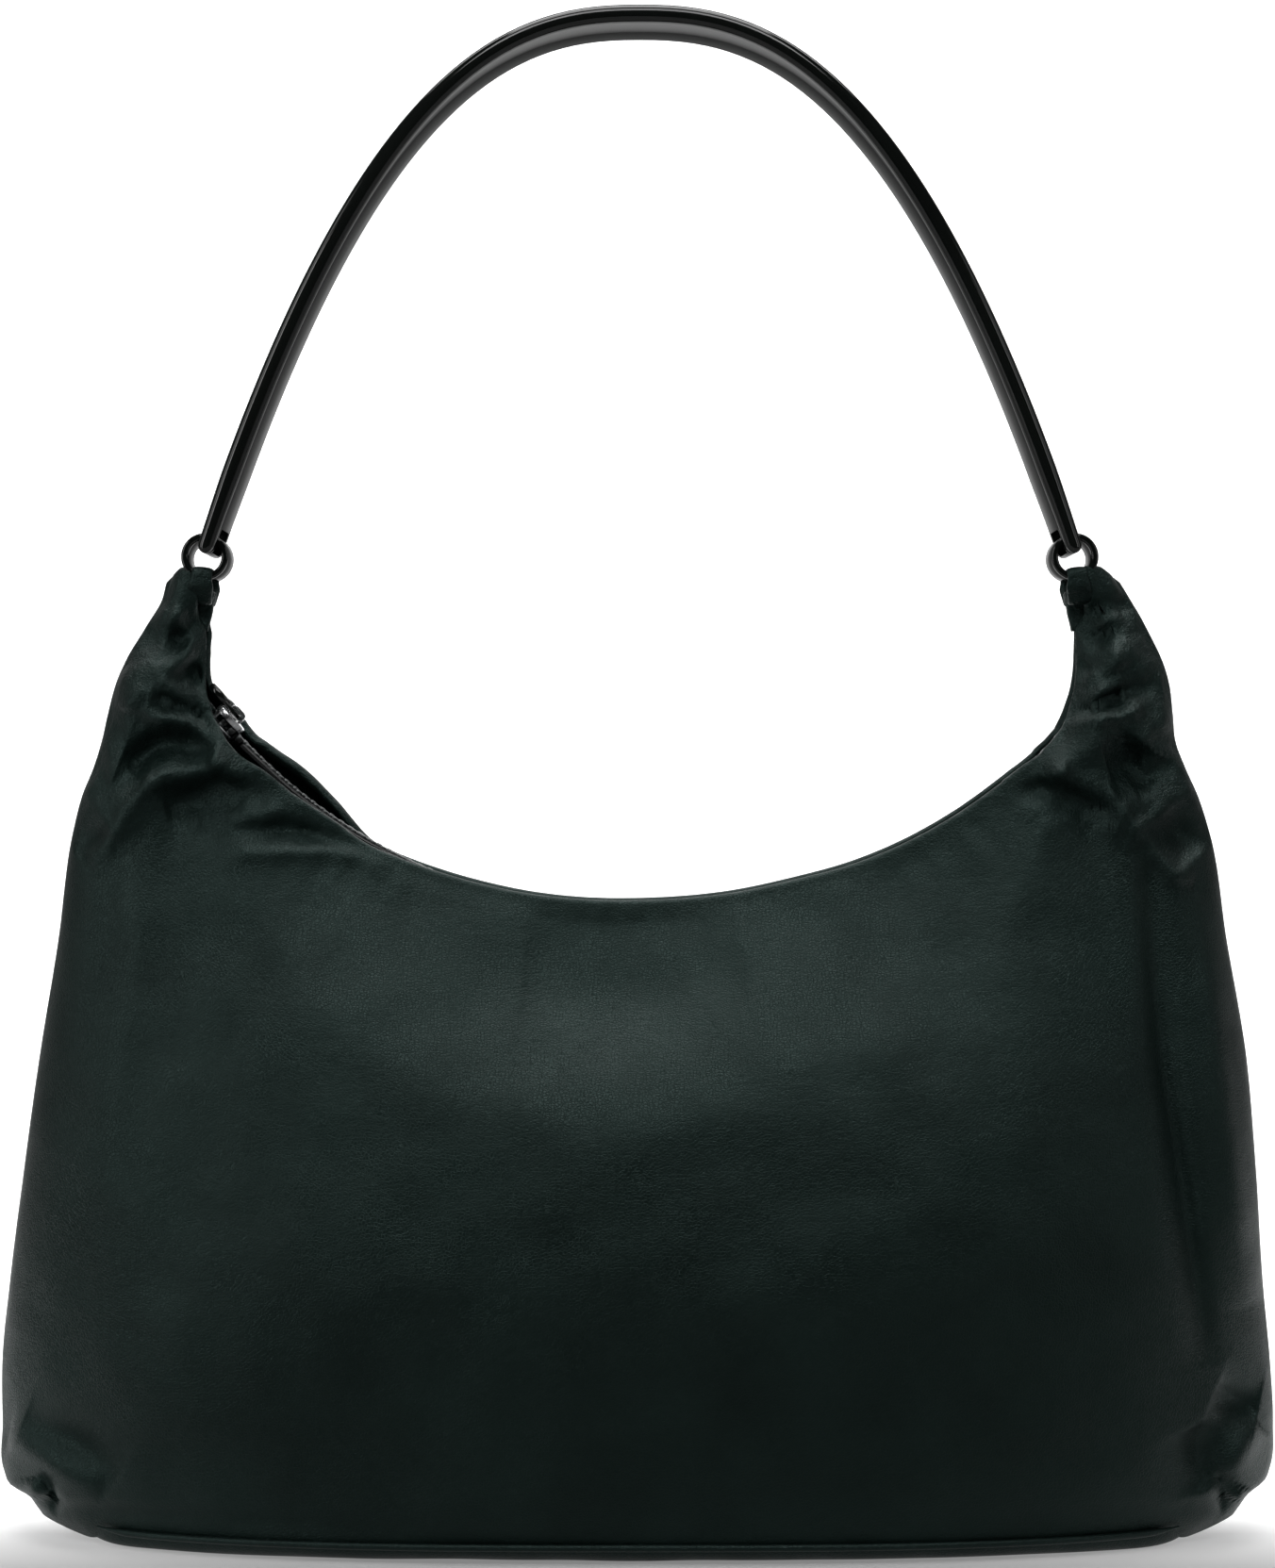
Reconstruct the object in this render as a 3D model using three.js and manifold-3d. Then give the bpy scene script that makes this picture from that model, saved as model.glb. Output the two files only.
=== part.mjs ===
// Hobo bag: a soft leather shell with a scooped, zipped mouth that ends in two horns, and a stiff arched
// handle hung on a ring at each horn. Millimetres, +Z up, front facing -Y, origin under the middle of the base.
import * as THREE from "three";
import { mergeVertices } from "three/addons/utils/BufferGeometryUtils.js";
import Module from "manifold-3d";

const wasm = await Module();
wasm.setup();

// Shell
const HALF_WIDTH = 140.3; // at its widest, WIDEST_Z above the table
const WIDEST_Z = 25;
const HORN_TOP_Z = 212.5;
const BASE_HALF_DEPTH = 33;
const BELLY_HALF_DEPTH = 41;
const BELLY_AT = 0.35; // share of the panel's height where it is deepest
const MOUTH_HALF_DEPTH = 10;
const LEATHER = 1.4;
const SEAM_GAP = 0.25; // half the gap between the front and the back panel at a seam
const BASE_HEIGHT = 5; // base seam above the table
const BASE_FLAT = 0.78; // share of the base's length that is flat
const BASE_END_RISE = 9;
const CLEAR = 0.3; // between parts that are sewn or glued together

// Inner layers; limit is the share of the half width that they reach
const LINING = { clear: 1.2, thickness: 0.6, rise: 2, topZ: 137, limit: 0.985 };
const FACING = { clear: 0.4, thickness: 1, drop: 18, underRim: 2, underChain: 1.5, limit: 0.72 };

// Mouth and zip, each on an arc whose centre is above the bag
const MOUTH_CENTRE_Z = 278;
const MOUTH_RADIUS = 137;
const CHAIN = { x: 2, z: 260.2, radius: 124, from: -49.4, to: 46.4 }; // a little off the bag's middle
// Teeth, across the chain: each runs from `root` on its own side to `reach` past the middle
const TOOTH = { pitch: 2.5, halfLength: 0.475, halfHeight: 0.7, root: 1.5, reach: 0.9 };
const TOOTH_BACKING = { near: 1.35, far: 2.1, halfHeight: 0.9 };
const TAPE = { near: 2.4, far: 8.1, halfThickness: 0.3, from: -46, to: 43.5 };
const SLIDER_ANGLE = -49;

// Hardware
const RING = { x: 95.5, z: 215.5, outer: 5.2, inner: 3.65, halfDepth: 6 };
const HANDLE = {
  topZ: 333.9,
  rise: 119.9,
  halfSpan: 96,
  power: 2.45,
  thickness: 4.2,
  depth: 21,
};
const HANDLE_END = { x: 95.35, z: 215.7, radius: 1.8 };
// Slot in each end of the handle, measured up from the centre of its end bar
const SLOT = { low: 1.0, high: 6.6, halfWidth: 7, halfThrough: 5 };
const LOOP = {
  pivotZ: 204,
  footRadius: 1.3,
  ply: 1.0,
  halfWidth: 2.4,
  gap: 0.2, // between the strap and the ring's band
  endGap: 0.25, // between the strap and the ring's faces
  from: -85, // the part of the ring that the strap wraps, in degrees
  to: -35,
  shoulderZ: 209.6,
  topZ: 211.6,
};

const LEATHER_MAT = { color: 0x232a26, roughness: 0.42, metalness: 0 };
const LACQUER = { color: 0x0b0e0d, roughness: 0.08, metalness: 0 };
const SILVER = { color: 0xc9ccce, roughness: 0.22, metalness: 1 };
const TAPE_MAT = { color: 0x111412, roughness: 0.85, metalness: 0 };
const LINING_MAT = { color: 0x2b2c2a, roughness: 0.9, metalness: 0 };
const BOARD_MAT = { color: 0x6d675c, roughness: 0.9, metalness: 0 };

const root = new THREE.Group();
root.name = "hobo_bag";

function add(name, geometry, look) {
  const mesh = new THREE.Mesh(geometry, new THREE.MeshStandardMaterial(look));
  mesh.name = name;
  root.add(mesh);
  return mesh;
}

const rad = THREE.MathUtils.degToRad;
const lerp = THREE.MathUtils.lerp;
const smooth = THREE.MathUtils.smoothstep;
const share = (v, from, to) => THREE.MathUtils.clamp((v - from) / (to - from), 0, 1);

// ---- solids ----

function solid(geometry) {
  const bare = geometry.clone();
  bare.deleteAttribute("normal");
  bare.deleteAttribute("uv");
  const merged = mergeVertices(bare, 1e-4);
  return new wasm.Manifold(
    new wasm.Mesh({
      numProp: 3,
      vertProperties: new Float32Array(merged.attributes.position.array),
      triVerts: new Uint32Array(merged.index.array),
    }),
  );
}

function geometryOf(manifold) {
  const mesh = manifold.getMesh();
  const geometry = new THREE.BufferGeometry();
  geometry.setAttribute("position", new THREE.BufferAttribute(mesh.vertProperties, 3));
  geometry.setIndex(new THREE.BufferAttribute(mesh.triVerts, 1));
  return geometry;
}

// A box between two corners, in millimetres.
function box(low, high) {
  const size = high.map((v, i) => v - low[i]);
  const mid = high.map((v, i) => (v + low[i]) / 2);
  return new THREE.BoxGeometry(...size).translate(...mid);
}

// A flat outline in X and Z, extruded along Y from -halfDepth to +halfDepth.
function plate(shape, halfDepth, curveSegments = 12) {
  const settings = { depth: 2 * halfDepth, bevelEnabled: false, curveSegments };
  const geometry = new THREE.ExtrudeGeometry(shape, settings);
  return geometry.rotateX(Math.PI / 2).translate(0, halfDepth, 0);
}

function turned(geometry) {
  const order = geometry.index.array;
  for (let i = 0; i < order.length; i += 3) {
    [order[i + 1], order[i + 2]] = [order[i + 2], order[i + 1]];
  }
  return geometry;
}

function mirrored(geometry, axis) {
  const signs = [0, 1, 2].map((i) => (i === axis ? -1 : 1));
  const copy = geometry.index ? geometry.clone() : mergeVertices(geometry, 1e-4);
  copy.scale(...signs);
  return turned(copy);
}

// A closed body between two grids of points, outer[i][j] and inner[i][j].
function slab(outer, inner) {
  const rows = outer.length;
  const columns = outer[0].length;
  const points = [...outer.flat(), ...inner.flat()];
  const at = (side, i, j) => (side * rows + i) * columns + j;
  const index = [];
  const quad = (a, b, c, d) => index.push(a, b, c, a, c, d);
  for (let i = 0; i + 1 < rows; i++) {
    for (let j = 0; j + 1 < columns; j++) {
      quad(at(0, i, j), at(0, i + 1, j), at(0, i + 1, j + 1), at(0, i, j + 1));
      quad(at(1, i, j), at(1, i, j + 1), at(1, i + 1, j + 1), at(1, i + 1, j));
    }
  }
  for (let i = 0; i + 1 < rows; i++) {
    const last = columns - 1;
    quad(at(0, i, 0), at(1, i, 0), at(1, i + 1, 0), at(0, i + 1, 0));
    quad(at(0, i, last), at(0, i + 1, last), at(1, i + 1, last), at(1, i, last));
  }
  for (let j = 0; j + 1 < columns; j++) {
    const last = rows - 1;
    quad(at(0, 0, j), at(0, 0, j + 1), at(1, 0, j + 1), at(1, 0, j));
    quad(at(0, last, j), at(1, last, j), at(1, last, j + 1), at(0, last, j + 1));
  }
  const geometry = new THREE.BufferGeometry();
  const flat = points.flatMap((p) => [p.x, p.y, p.z]);
  geometry.setAttribute("position", new THREE.Float32BufferAttribute(flat, 3));
  geometry.setIndex(index);
  return geometry;
}

// ---- the shell's shape ----

// Half the bag's width at height z.
function halfWidth(z) {
  const s = z - WIDEST_Z;
  if (s < 0) return HALF_WIDTH - 0.004 * s * s;
  return HALF_WIDTH - 0.075 * s - 19.7 * (s / 181) ** 4;
}

// The horn's inner edge and rounded tip: share of the half width, and height.
const HORN_EDGE = [
  [0.736, 173],
  [0.777, 181.5],
  [0.81, 188],
  [0.836, 194],
  [0.87, 200.2],
  [0.93, 201.6],
  [0.948, 206],
  [0.96, 210.5],
  [0.98, HORN_TOP_Z],
  [1, HORN_TOP_Z - 2.5],
];

// Height of the panel's upper edge, at share f of the half width.
function topZ(f) {
  const a = Math.abs(f);
  if (a <= HORN_EDGE[0][0]) {
    let z = MOUTH_CENTRE_Z - MOUTH_RADIUS;
    for (let i = 0; i < 12; i++) {
      const x = a * halfWidth(z);
      z = MOUTH_CENTRE_Z - Math.sqrt(MOUTH_RADIUS ** 2 - x ** 2);
    }
    return z;
  }
  const k = HORN_EDGE.findIndex((p) => p[0] >= a);
  const [f0, z0] = HORN_EDGE[k - 1];
  const [f1, z1] = HORN_EDGE[k];
  return lerp(z0, z1, (a - f0) / (f1 - f0));
}

// Height of the base seam, which rises towards the bag's bottom corners.
function seamZ(f) {
  const q = share(Math.abs(f), BASE_FLAT, 1);
  return BASE_HEIGHT + BASE_END_RISE * q * q;
}

function baseHalfDepth(f) {
  return BASE_HALF_DEPTH * (1 - Math.abs(f) ** 3) ** 0.7;
}

// Half the bag's depth at share f of the half width and height z.
function halfDepth(f, z) {
  const a = Math.abs(f);
  const t = THREE.MathUtils.clamp((z - seamZ(f)) / (topZ(f) - seamZ(f)), 0, 1);
  const belly = BELLY_HALF_DEPTH * (1 - a ** 2.6) ** 0.55;
  const closed = LEATHER * Math.sqrt(1 - share(a, 0.97, 1) ** 2);
  const mouth = lerp(MOUTH_HALF_DEPTH, closed, smooth(a, 0.785, 0.83));
  const base = baseHalfDepth(f);
  if (t < BELLY_AT) return lerp(base, belly, Math.sin(((Math.PI / 2) * t) / BELLY_AT));
  const lean = Math.cos(((Math.PI / 2) * (t - BELLY_AT)) / (1 - BELLY_AT)) ** 1.15;
  const open = 1 - t ** 30;
  const horn = 4.5 * Math.sin(Math.PI * share(a, 0.76, 1)) * smooth(z, 165, 190);
  const tip = 3.5 * Math.sin(Math.PI * share(a, 0.92, 1)) * smooth(z, 198, 205);
  return lerp(mouth, Math.max(belly, mouth), lean) + (horn + tip) * open;
}

// A point of the front panel's outside, `inset` millimetres in from it.
function skin(f, z, inset = 0) {
  const step = 1e-4;
  const on = (g, h) => new THREE.Vector3(g * halfWidth(h), -SEAM_GAP - halfDepth(g, h), h);
  const here = on(f, z);
  if (!inset) return here;
  const side = f > 0 ? -step : step;
  const middle = (topZ(f) + seamZ(f)) / 2;
  const rise = z > middle ? -step : step;
  const along = on(f + side, z).sub(here).divideScalar(side);
  const up = on(f, z + rise).sub(here).divideScalar(rise);
  const out = along.cross(up).normalize();
  here.addScaledVector(out, -inset);
  here.y = Math.min(here.y, -SEAM_GAP);
  return here;
}

// Shares of the half width, closer together towards the horns.
function shares(count, limit = 1) {
  return Array.from({ length: 2 * count + 1 }, (_, i) => {
    const u = i / count - 1;
    return limit * Math.sign(u) * (1 - (1 - Math.abs(u)) ** 1.6);
  });
}

// A layer of the front of the bag between two heights and two insets.
function layer(columns, rows, low, high, outside, inside) {
  const grid = (inset) =>
    Array.from({ length: rows + 1 }, (_, i) =>
      columns.map((f) => skin(f, lerp(low(f), high(f), i / rows), inset)),
    );
  return turned(slab(grid(outside), grid(inside)));
}

function addPair(name, front, look) {
  add(name + "_front", front, look);
  add(name + "_back", mirrored(front, 1), look);
}

const frontPanel = layer(shares(18), 12, (f) => seamZ(f) + CLEAR, topZ, 0, LEATHER);
add("front_panel", frontPanel, LEATHER_MAT);
add("back_panel", mirrored(frontPanel, 1), LEATHER_MAT);

const liningOut = LEATHER + LINING.clear;
const liningIn = liningOut + LINING.thickness;
const liningLow = (f) => seamZ(f) + LINING.rise;
const liningTop = (f) => Math.min(topZ(f) - FACING.drop - 1, LINING.topZ);
const lining = layer(shares(14, LINING.limit), 10, liningLow, liningTop, liningOut, liningIn);
addPair("lining", lining, LINING_MAT);

const facingOut = LEATHER + FACING.clear;
const chainZ = (f) => CHAIN.z - Math.sqrt(CHAIN.radius ** 2 - (f * halfWidth(topZ(f)) - CHAIN.x) ** 2);
const facingLow = (f) => topZ(f) - FACING.drop;
const facingHigh = (f) => Math.min(topZ(f) - FACING.underRim, chainZ(f) - FACING.underChain);
const facingIn = facingOut + FACING.thickness;
const facing = layer(shares(10, FACING.limit), 2, facingLow, facingHigh, facingOut, facingIn);
addPair("facing", facing, LEATHER_MAT);

// ---- base ----

// A point of the base's outside, v across it from -1 to 1; `inset` is how far inside.
function basePoint(f, v, inset) {
  const q = share(Math.abs(v), 0.8, 1);
  const rim = 1 - Math.sqrt(1 - q * q);
  const edge = Math.max(baseHalfDepth(f) - inset, 0.2) + SEAM_GAP;
  const z = seamZ(f) - BASE_HEIGHT * (1 - rim) + inset * (1 - q * q);
  return new THREE.Vector3(f * (halfWidth(seamZ(f)) - inset), v * edge, z);
}

function baseLayer(columns, rows, spread, outside, inside) {
  const grid = (inset) =>
    Array.from({ length: rows + 1 }, (_, i) =>
      columns.map((f) => basePoint(f, spread * ((2 * i) / rows - 1), inset)),
    );
  return slab(grid(outside), grid(inside));
}

add("base_panel", baseLayer(shares(14), 20, 1, 0, 1.6), LEATHER_MAT);
add("base_board", baseLayer(shares(8, 0.76), 8, 0.8, 1.9, 3.7), BOARD_MAT);
add("lining_base", baseLayer(shares(8, 0.76), 8, 0.8, 4, 4.6), LINING_MAT);

// Cord sewn into the base seam, outside it.
const WELT_RADIUS = 0.8;
const weltPath = new THREE.CatmullRomCurve3(
  shares(12, 0.955).map((f) => {
    const y = -(baseHalfDepth(f) + SEAM_GAP + WELT_RADIUS + CLEAR);
    return new THREE.Vector3(f * halfWidth(seamZ(f)), y, seamZ(f));
  }),
);
const weltSection = new THREE.Shape().absarc(0, 0, WELT_RADIUS, 0, 2 * Math.PI);
const weltSettings = { steps: 40, curveSegments: 4, extrudePath: weltPath };
const welt = new THREE.ExtrudeGeometry(weltSection, weltSettings);
add("base_welt_front", welt, LEATHER_MAT);
add("base_welt_back", mirrored(welt, 1), LEATHER_MAT);

// ---- zip ----

// Moves a piece drawn at the lowest point of the arc, chain centre at z = 0, to its angle.
function onArc(geometry, degrees) {
  return geometry
    .translate(0, 0, -CHAIN.radius)
    .rotateY(-rad(degrees))
    .translate(CHAIN.x, 0, CHAIN.z);
}

// A strip along the arc, in Y from y0 to y1, as far above as below the chain's centre.
function arcStrip(y0, y1, halfHeight, start, end, steps = 36) {
  const shape = new THREE.Shape();
  const from = rad(start - 90);
  const to = rad(end - 90);
  shape.absarc(0, 0, CHAIN.radius + halfHeight, from, to, false);
  shape.absarc(0, 0, CHAIN.radius - halfHeight, to, from, true);
  const strip = plate(shape, (y1 - y0) / 2, steps);
  return strip.translate(CHAIN.x, (y0 + y1) / 2, CHAIN.z);
}

const toothAngle = THREE.MathUtils.radToDeg(TOOTH.pitch / CHAIN.radius);
const toothCount = Math.floor((CHAIN.to - CHAIN.from) / toothAngle);

// One row of teeth on its backing strip. sign is its side, shift the share of a pitch it is set on by.
function comb(sign, shift) {
  const { near, far, halfHeight } = TOOTH_BACKING;
  const sides = [sign * near, sign * far].sort((a, b) => a - b);
  const strip = arcStrip(...sides, halfHeight, CHAIN.from, CHAIN.to, 40);
  const ends = [sign * TOOTH.root, -sign * TOOTH.reach].sort((a, b) => a - b);
  const low = [-TOOTH.halfLength, ends[0], -TOOTH.halfHeight];
  const high = [TOOTH.halfLength, ends[1], TOOTH.halfHeight];
  const teeth = Array.from({ length: toothCount }, (_, k) => {
    const angle = CHAIN.from + (k + shift + 0.25) * toothAngle;
    return solid(onArc(box(low, high), angle));
  });
  return geometryOf(teeth.reduce((sum, tooth) => sum.add(tooth), solid(strip)));
}

const tape = arcStrip(-TAPE.far, -TAPE.near, TAPE.halfThickness, TAPE.from, TAPE.to);
addPair("zip_tape", tape, TAPE_MAT);
add("zip_teeth_front", comb(-1, 0), SILVER);
add("zip_teeth_back", comb(1, 0.5), SILVER);

// A leather tab closes the chain at each end, and a stop ends it on the right.
const STOP = { angle: 47, half: [0.4, 2.2, 1] };
const TAB = { left: -51.5, right: 48.6, half: [1.6, 1.9, 0.5] };

function block(half) {
  const low = half.map((v) => -v);
  return box(low, half);
}

add("zip_stop_right", onArc(block(STOP.half), STOP.angle), SILVER);
add("zip_end_tab_left", onArc(block(TAB.half), TAB.left), LEATHER_MAT);
add("zip_end_tab_right", onArc(block(TAB.half), TAB.right), LEATHER_MAT);

// Slider: two plates joined by a post ahead of the last tooth, with a bridge for the pull.
const PLATE = { low: 1.3, high: 2.5, thin: 2.2, halfLength: 3.6, halfWidth: 3.8 };
const POST = { length: 1.2, halfWidth: 0.8 };
const BRIDGE = { legs: 1.4, leg: 0.6, under: 4.0, top: 4.8, halfWidth: 0.7 };
const BITE = 0.2; // how far joined pieces run into each other
const PULL_PIN = { along: 0.6, up: 3.25, radius: 0.45, length: 3.4 };
const PULL = { behind: 6.1, halfLength: 3.2, halfWidth: 1.9, half: 0.4 };
const PULL_ARM = { near: 1.1, far: 1.7, length: 4.2 };

function sliderBody() {
  const { low, high, thin, halfLength: l, halfWidth: w } = PLATE;
  const { legs, leg, under, top, halfWidth: bridge } = BRIDGE;
  const outerLeg = legs + leg;
  const pieces = [
    box([-l, -w, low], [l, w, high]),
    box([-l, -w, -thin], [l, w, -low]),
    box([-l, -POST.halfWidth, -low - BITE], [-l + POST.length, POST.halfWidth, low + BITE]),
    box([-outerLeg, -bridge, high - BITE], [-legs, bridge, top]),
    box([legs, -bridge, high - BITE], [outerLeg, bridge, top]),
    box([-legs - BITE, -bridge, under], [legs + BITE, bridge, top]),
  ];
  const body = pieces.map(solid).reduce((sum, piece) => sum.add(piece));
  return geometryOf(body);
}
add("zip_slider", onArc(sliderBody(), SLIDER_ANGLE), SILVER);

// Pull: an oval plate on two arms whose cross pin passes under the slider's bridge. It lies towards the horn.
function pullBody() {
  const { along, up, radius, length } = PULL_PIN;
  const { behind, halfLength, halfWidth: wide, half } = PULL;
  const pin = new THREE.CylinderGeometry(radius, radius, length, 12).translate(along, 0, up);
  const oval = new THREE.Shape().absellipse(along - behind, 0, halfLength, wide, 0, 2 * Math.PI);
  const settings = { depth: 2 * half, bevelEnabled: false, curveSegments: 12 };
  const blade = new THREE.ExtrudeGeometry(oval, settings).translate(0, 0, up - half);
  const arms = [-1, 1].map((s) => {
    const sides = [s * PULL_ARM.near, s * PULL_ARM.far].sort((a, b) => a - b);
    return box([along - PULL_ARM.length, sides[0], up - half], [along, sides[1], up + half]);
  });
  const body = [pin, blade, ...arms].map(solid).reduce((sum, piece) => sum.add(piece));
  return geometryOf(body);
}
add("zip_pull", onArc(pullBody(), SLIDER_ANGLE), LACQUER);

// ---- handle, rings and loops ----

// A point of the handle's centre line, on its right side, at distance x from the middle.
function handlePoint(x) {
  const out = x / HANDLE.halfSpan;
  return new THREE.Vector2(x, HANDLE.topZ - HANDLE.rise * out ** HANDLE.power);
}

function handleSlope(x) {
  const out = x / HANDLE.halfSpan;
  return (-HANDLE.rise * HANDLE.power * out ** (HANDLE.power - 1)) / HANDLE.halfSpan;
}

// Half the outline: one side of the band from the top to its end.
function handleSide(sign, count) {
  const end = HANDLE_END.x - 0.6;
  return Array.from({ length: count + 1 }, (_, i) => {
    const x = end * (i / count) ** 0.8;
    const normal = new THREE.Vector2(-handleSlope(x), 1).normalize();
    const half = lerp(HANDLE.thickness / 2, HANDLE_END.radius, smooth(x, end - 6, end));
    return handlePoint(x).addScaledVector(normal, sign * half);
  });
}

function handleBody() {
  const outer = handleSide(1, 26);
  const inner = handleSide(-1, 26);
  const nose = Array.from({ length: 7 }, (_, i) => {
    const angle = lerp(0.1, -Math.PI + 0.45, i / 6);
    const { x, z, radius } = HANDLE_END;
    return new THREE.Vector2(x + radius * Math.cos(angle), z + radius * Math.sin(angle));
  });
  const right = [...outer, ...nose, ...inner.reverse()];
  const left = right.slice(1, -1).reverse().map((p) => new THREE.Vector2(-p.x, p.y));
  const outline = new THREE.Shape([...right, ...left]);
  const band = solid(plate(outline, HANDLE.depth / 2));
  const slots = [1, -1].map((s) => {
    const lean = Math.atan(-1 / handleSlope(HANDLE.halfSpan));
    const low = [-SLOT.halfThrough, -SLOT.halfWidth, SLOT.low];
    const high = [SLOT.halfThrough, SLOT.halfWidth, SLOT.high];
    const slot = box(low, high).rotateY(-s * lean).translate(s * HANDLE_END.x, 0, HANDLE_END.z);
    return solid(slot);
  });
  return geometryOf(slots.reduce((rest, slot) => rest.subtract(slot), band));
}
add("handle", handleBody(), LACQUER);

function sector(from, to, inner, outer) {
  const shape = new THREE.Shape();
  shape.absarc(0, 0, outer, rad(from), rad(to), false);
  shape.absarc(0, 0, inner, rad(to), rad(from), true);
  return shape;
}

function ringBody() {
  const profile = [
    [RING.inner, -RING.halfDepth],
    [RING.outer, -RING.halfDepth],
    [RING.outer, RING.halfDepth],
    [RING.inner, RING.halfDepth],
    [RING.inner, -RING.halfDepth],
  ].map((p) => new THREE.Vector2(...p));
  return new THREE.LatheGeometry(profile, 48).translate(RING.x, 0, RING.z);
}

// Strap folded through the ring, over the lower outer part of its band, down to a rounded foot on the horn.
function loopBody() {
  const cover = RING.halfDepth + LOOP.endGap + LOOP.ply;
  const reach = RING.inner - LOOP.gap - LOOP.ply;
  const wrap = sector(LOOP.from, LOOP.to, reach, RING.outer + LOOP.gap + LOOP.ply);
  const sleeve = solid(plate(wrap, cover).translate(RING.x, 0, RING.z));
  const foot = new THREE.Shape();
  foot.moveTo(-cover, LOOP.topZ);
  foot.lineTo(-cover, LOOP.shoulderZ);
  foot.lineTo(-LOOP.footRadius, LOOP.pivotZ);
  foot.absarc(0, LOOP.pivotZ, LOOP.footRadius, Math.PI, 2 * Math.PI, false);
  foot.lineTo(cover, LOOP.shoulderZ);
  foot.lineTo(cover, LOOP.topZ);
  const middle = RING.x + LOOP.halfWidth;
  const stem = plate(foot, LOOP.halfWidth, 6).rotateZ(Math.PI / 2).translate(middle, 0, 0);
  const band = sector(0, 359.99, RING.inner - LOOP.gap, RING.outer + LOOP.gap);
  const channel = plate(band, RING.halfDepth + LOOP.endGap, 24).translate(RING.x, 0, RING.z);
  const bore = new THREE.CylinderGeometry(reach, reach, 4 * cover, 32).translate(RING.x, 0, RING.z);
  return geometryOf(sleeve.add(solid(stem)).subtract(solid(channel)).subtract(solid(bore)));
}

const ring = ringBody();
const loop = loopBody();
add("ring_right", ring, LACQUER);
add("ring_left", mirrored(ring, 0), LACQUER);
add("loop_right", loop, LEATHER_MAT);
add("loop_left", mirrored(loop, 0), LEATHER_MAT);

export default root;
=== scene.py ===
"""Hobo bag: a soft leather shell with a scooped, zipped mouth and a stiff glossy arch on two rings.

Shapes are worked out in millimetres and written in metres. +X is the viewer's right, -Y the front, +Z up.
"""

import math

import bpy
import numpy as np
from mathutils import Matrix, Vector


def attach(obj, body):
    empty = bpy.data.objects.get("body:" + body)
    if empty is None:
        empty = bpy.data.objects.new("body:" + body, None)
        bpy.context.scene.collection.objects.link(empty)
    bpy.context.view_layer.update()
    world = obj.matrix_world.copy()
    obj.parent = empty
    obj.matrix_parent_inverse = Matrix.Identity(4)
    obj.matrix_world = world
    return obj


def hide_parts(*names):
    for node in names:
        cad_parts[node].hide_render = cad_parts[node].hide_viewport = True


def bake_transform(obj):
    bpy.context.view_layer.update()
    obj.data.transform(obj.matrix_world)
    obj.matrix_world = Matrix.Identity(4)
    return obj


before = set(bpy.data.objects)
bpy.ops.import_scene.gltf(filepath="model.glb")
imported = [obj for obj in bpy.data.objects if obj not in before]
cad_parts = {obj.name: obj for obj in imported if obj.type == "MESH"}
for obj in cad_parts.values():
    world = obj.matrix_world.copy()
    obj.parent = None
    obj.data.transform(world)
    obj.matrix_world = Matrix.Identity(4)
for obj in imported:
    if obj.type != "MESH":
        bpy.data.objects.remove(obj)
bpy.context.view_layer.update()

MM = 0.001
FRONT, BACK = -1, 1
LEFT, RIGHT = -1, 1
SIDES = {"left": LEFT, "right": RIGHT}
FACES = {"front": FRONT, "back": BACK}

# ---------------------------------------------------------------- sizes

# Outer edge of the shell: height, distance from the middle.
OUTLINE = {
    LEFT: [
        (0, 129.6), (3.5, 131.4), (6.5, 133.6), (8.6, 135.2), (11, 139.2), (14, 140.6), (25, 140.9),
        (38, 140.9), (56, 139.1), (81, 135.9), (106, 132.5), (131, 128.5), (156, 125.1), (163, 123.3),
        (169, 120.9), (175, 119.0), (181, 117.7), (188, 115.8), (194, 113.2), (200, 109.5), (206, 105.7),
        (210, 104.6), (212.5, 103.6), (216, 101),
    ],
    RIGHT: [
        (0, 128.6), (3.5, 130.6), (6.5, 132.8), (9, 134.6), (12, 138.2), (15, 139.4), (25, 140.0),
        (38, 139.3), (56, 137.6), (81, 136.0), (106, 133.9), (131, 129.7), (156, 125.7), (163, 123.4),
        (169, 120.7), (175, 118.5), (181, 117.9), (188, 117.1), (194, 115.2), (200, 112.2), (206, 108.6),
        (210, 106.2), (212.5, 104.6), (216, 101.5),
    ],
}
# Inner edge of a horn: share of the half width, height.
HORN_EDGE = {
    LEFT: [
        (0.736, 172.2), (0.757, 174.6), (0.776, 177.5), (0.796, 180.4), (0.812, 184), (0.826, 188),
        (0.84, 192.6), (0.857, 196.8), (0.876, 200), (0.905, 202.4), (0.922, 206), (0.935, 210),
        (0.955, 212.2), (0.98, 212.6), (1, 210),
    ],
    RIGHT: [
        (0.736, 172.4), (0.76, 174.6), (0.78, 177.2), (0.796, 181), (0.81, 185.4), (0.823, 190),
        (0.837, 195), (0.855, 199.6), (0.886, 202.6), (0.9, 206), (0.915, 210), (0.938, 212.6),
        (0.975, 213), (1, 210),
    ],
}
MOUTH = {"centre_z": 278, "radius": 137, "half_depth": 10}
CHAIN = {"x": 2, "z": 260.2, "radius": 124, "from": -49.4, "to": 46.4}
BASE = {"height": 3.9, "half_depth": 33, "flat": 0.82, "end_rise": 5, "wrap": 4.6}
BELLY = {"half_depth": 41, "at": 0.35}
HORN = {"swell": 7.5, "tip": 4.5, "closed": 1.6, "sleeve": 4.7}
LEATHER = 1.4
LIP = 2.2  # thickness of the turned upper edge
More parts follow.
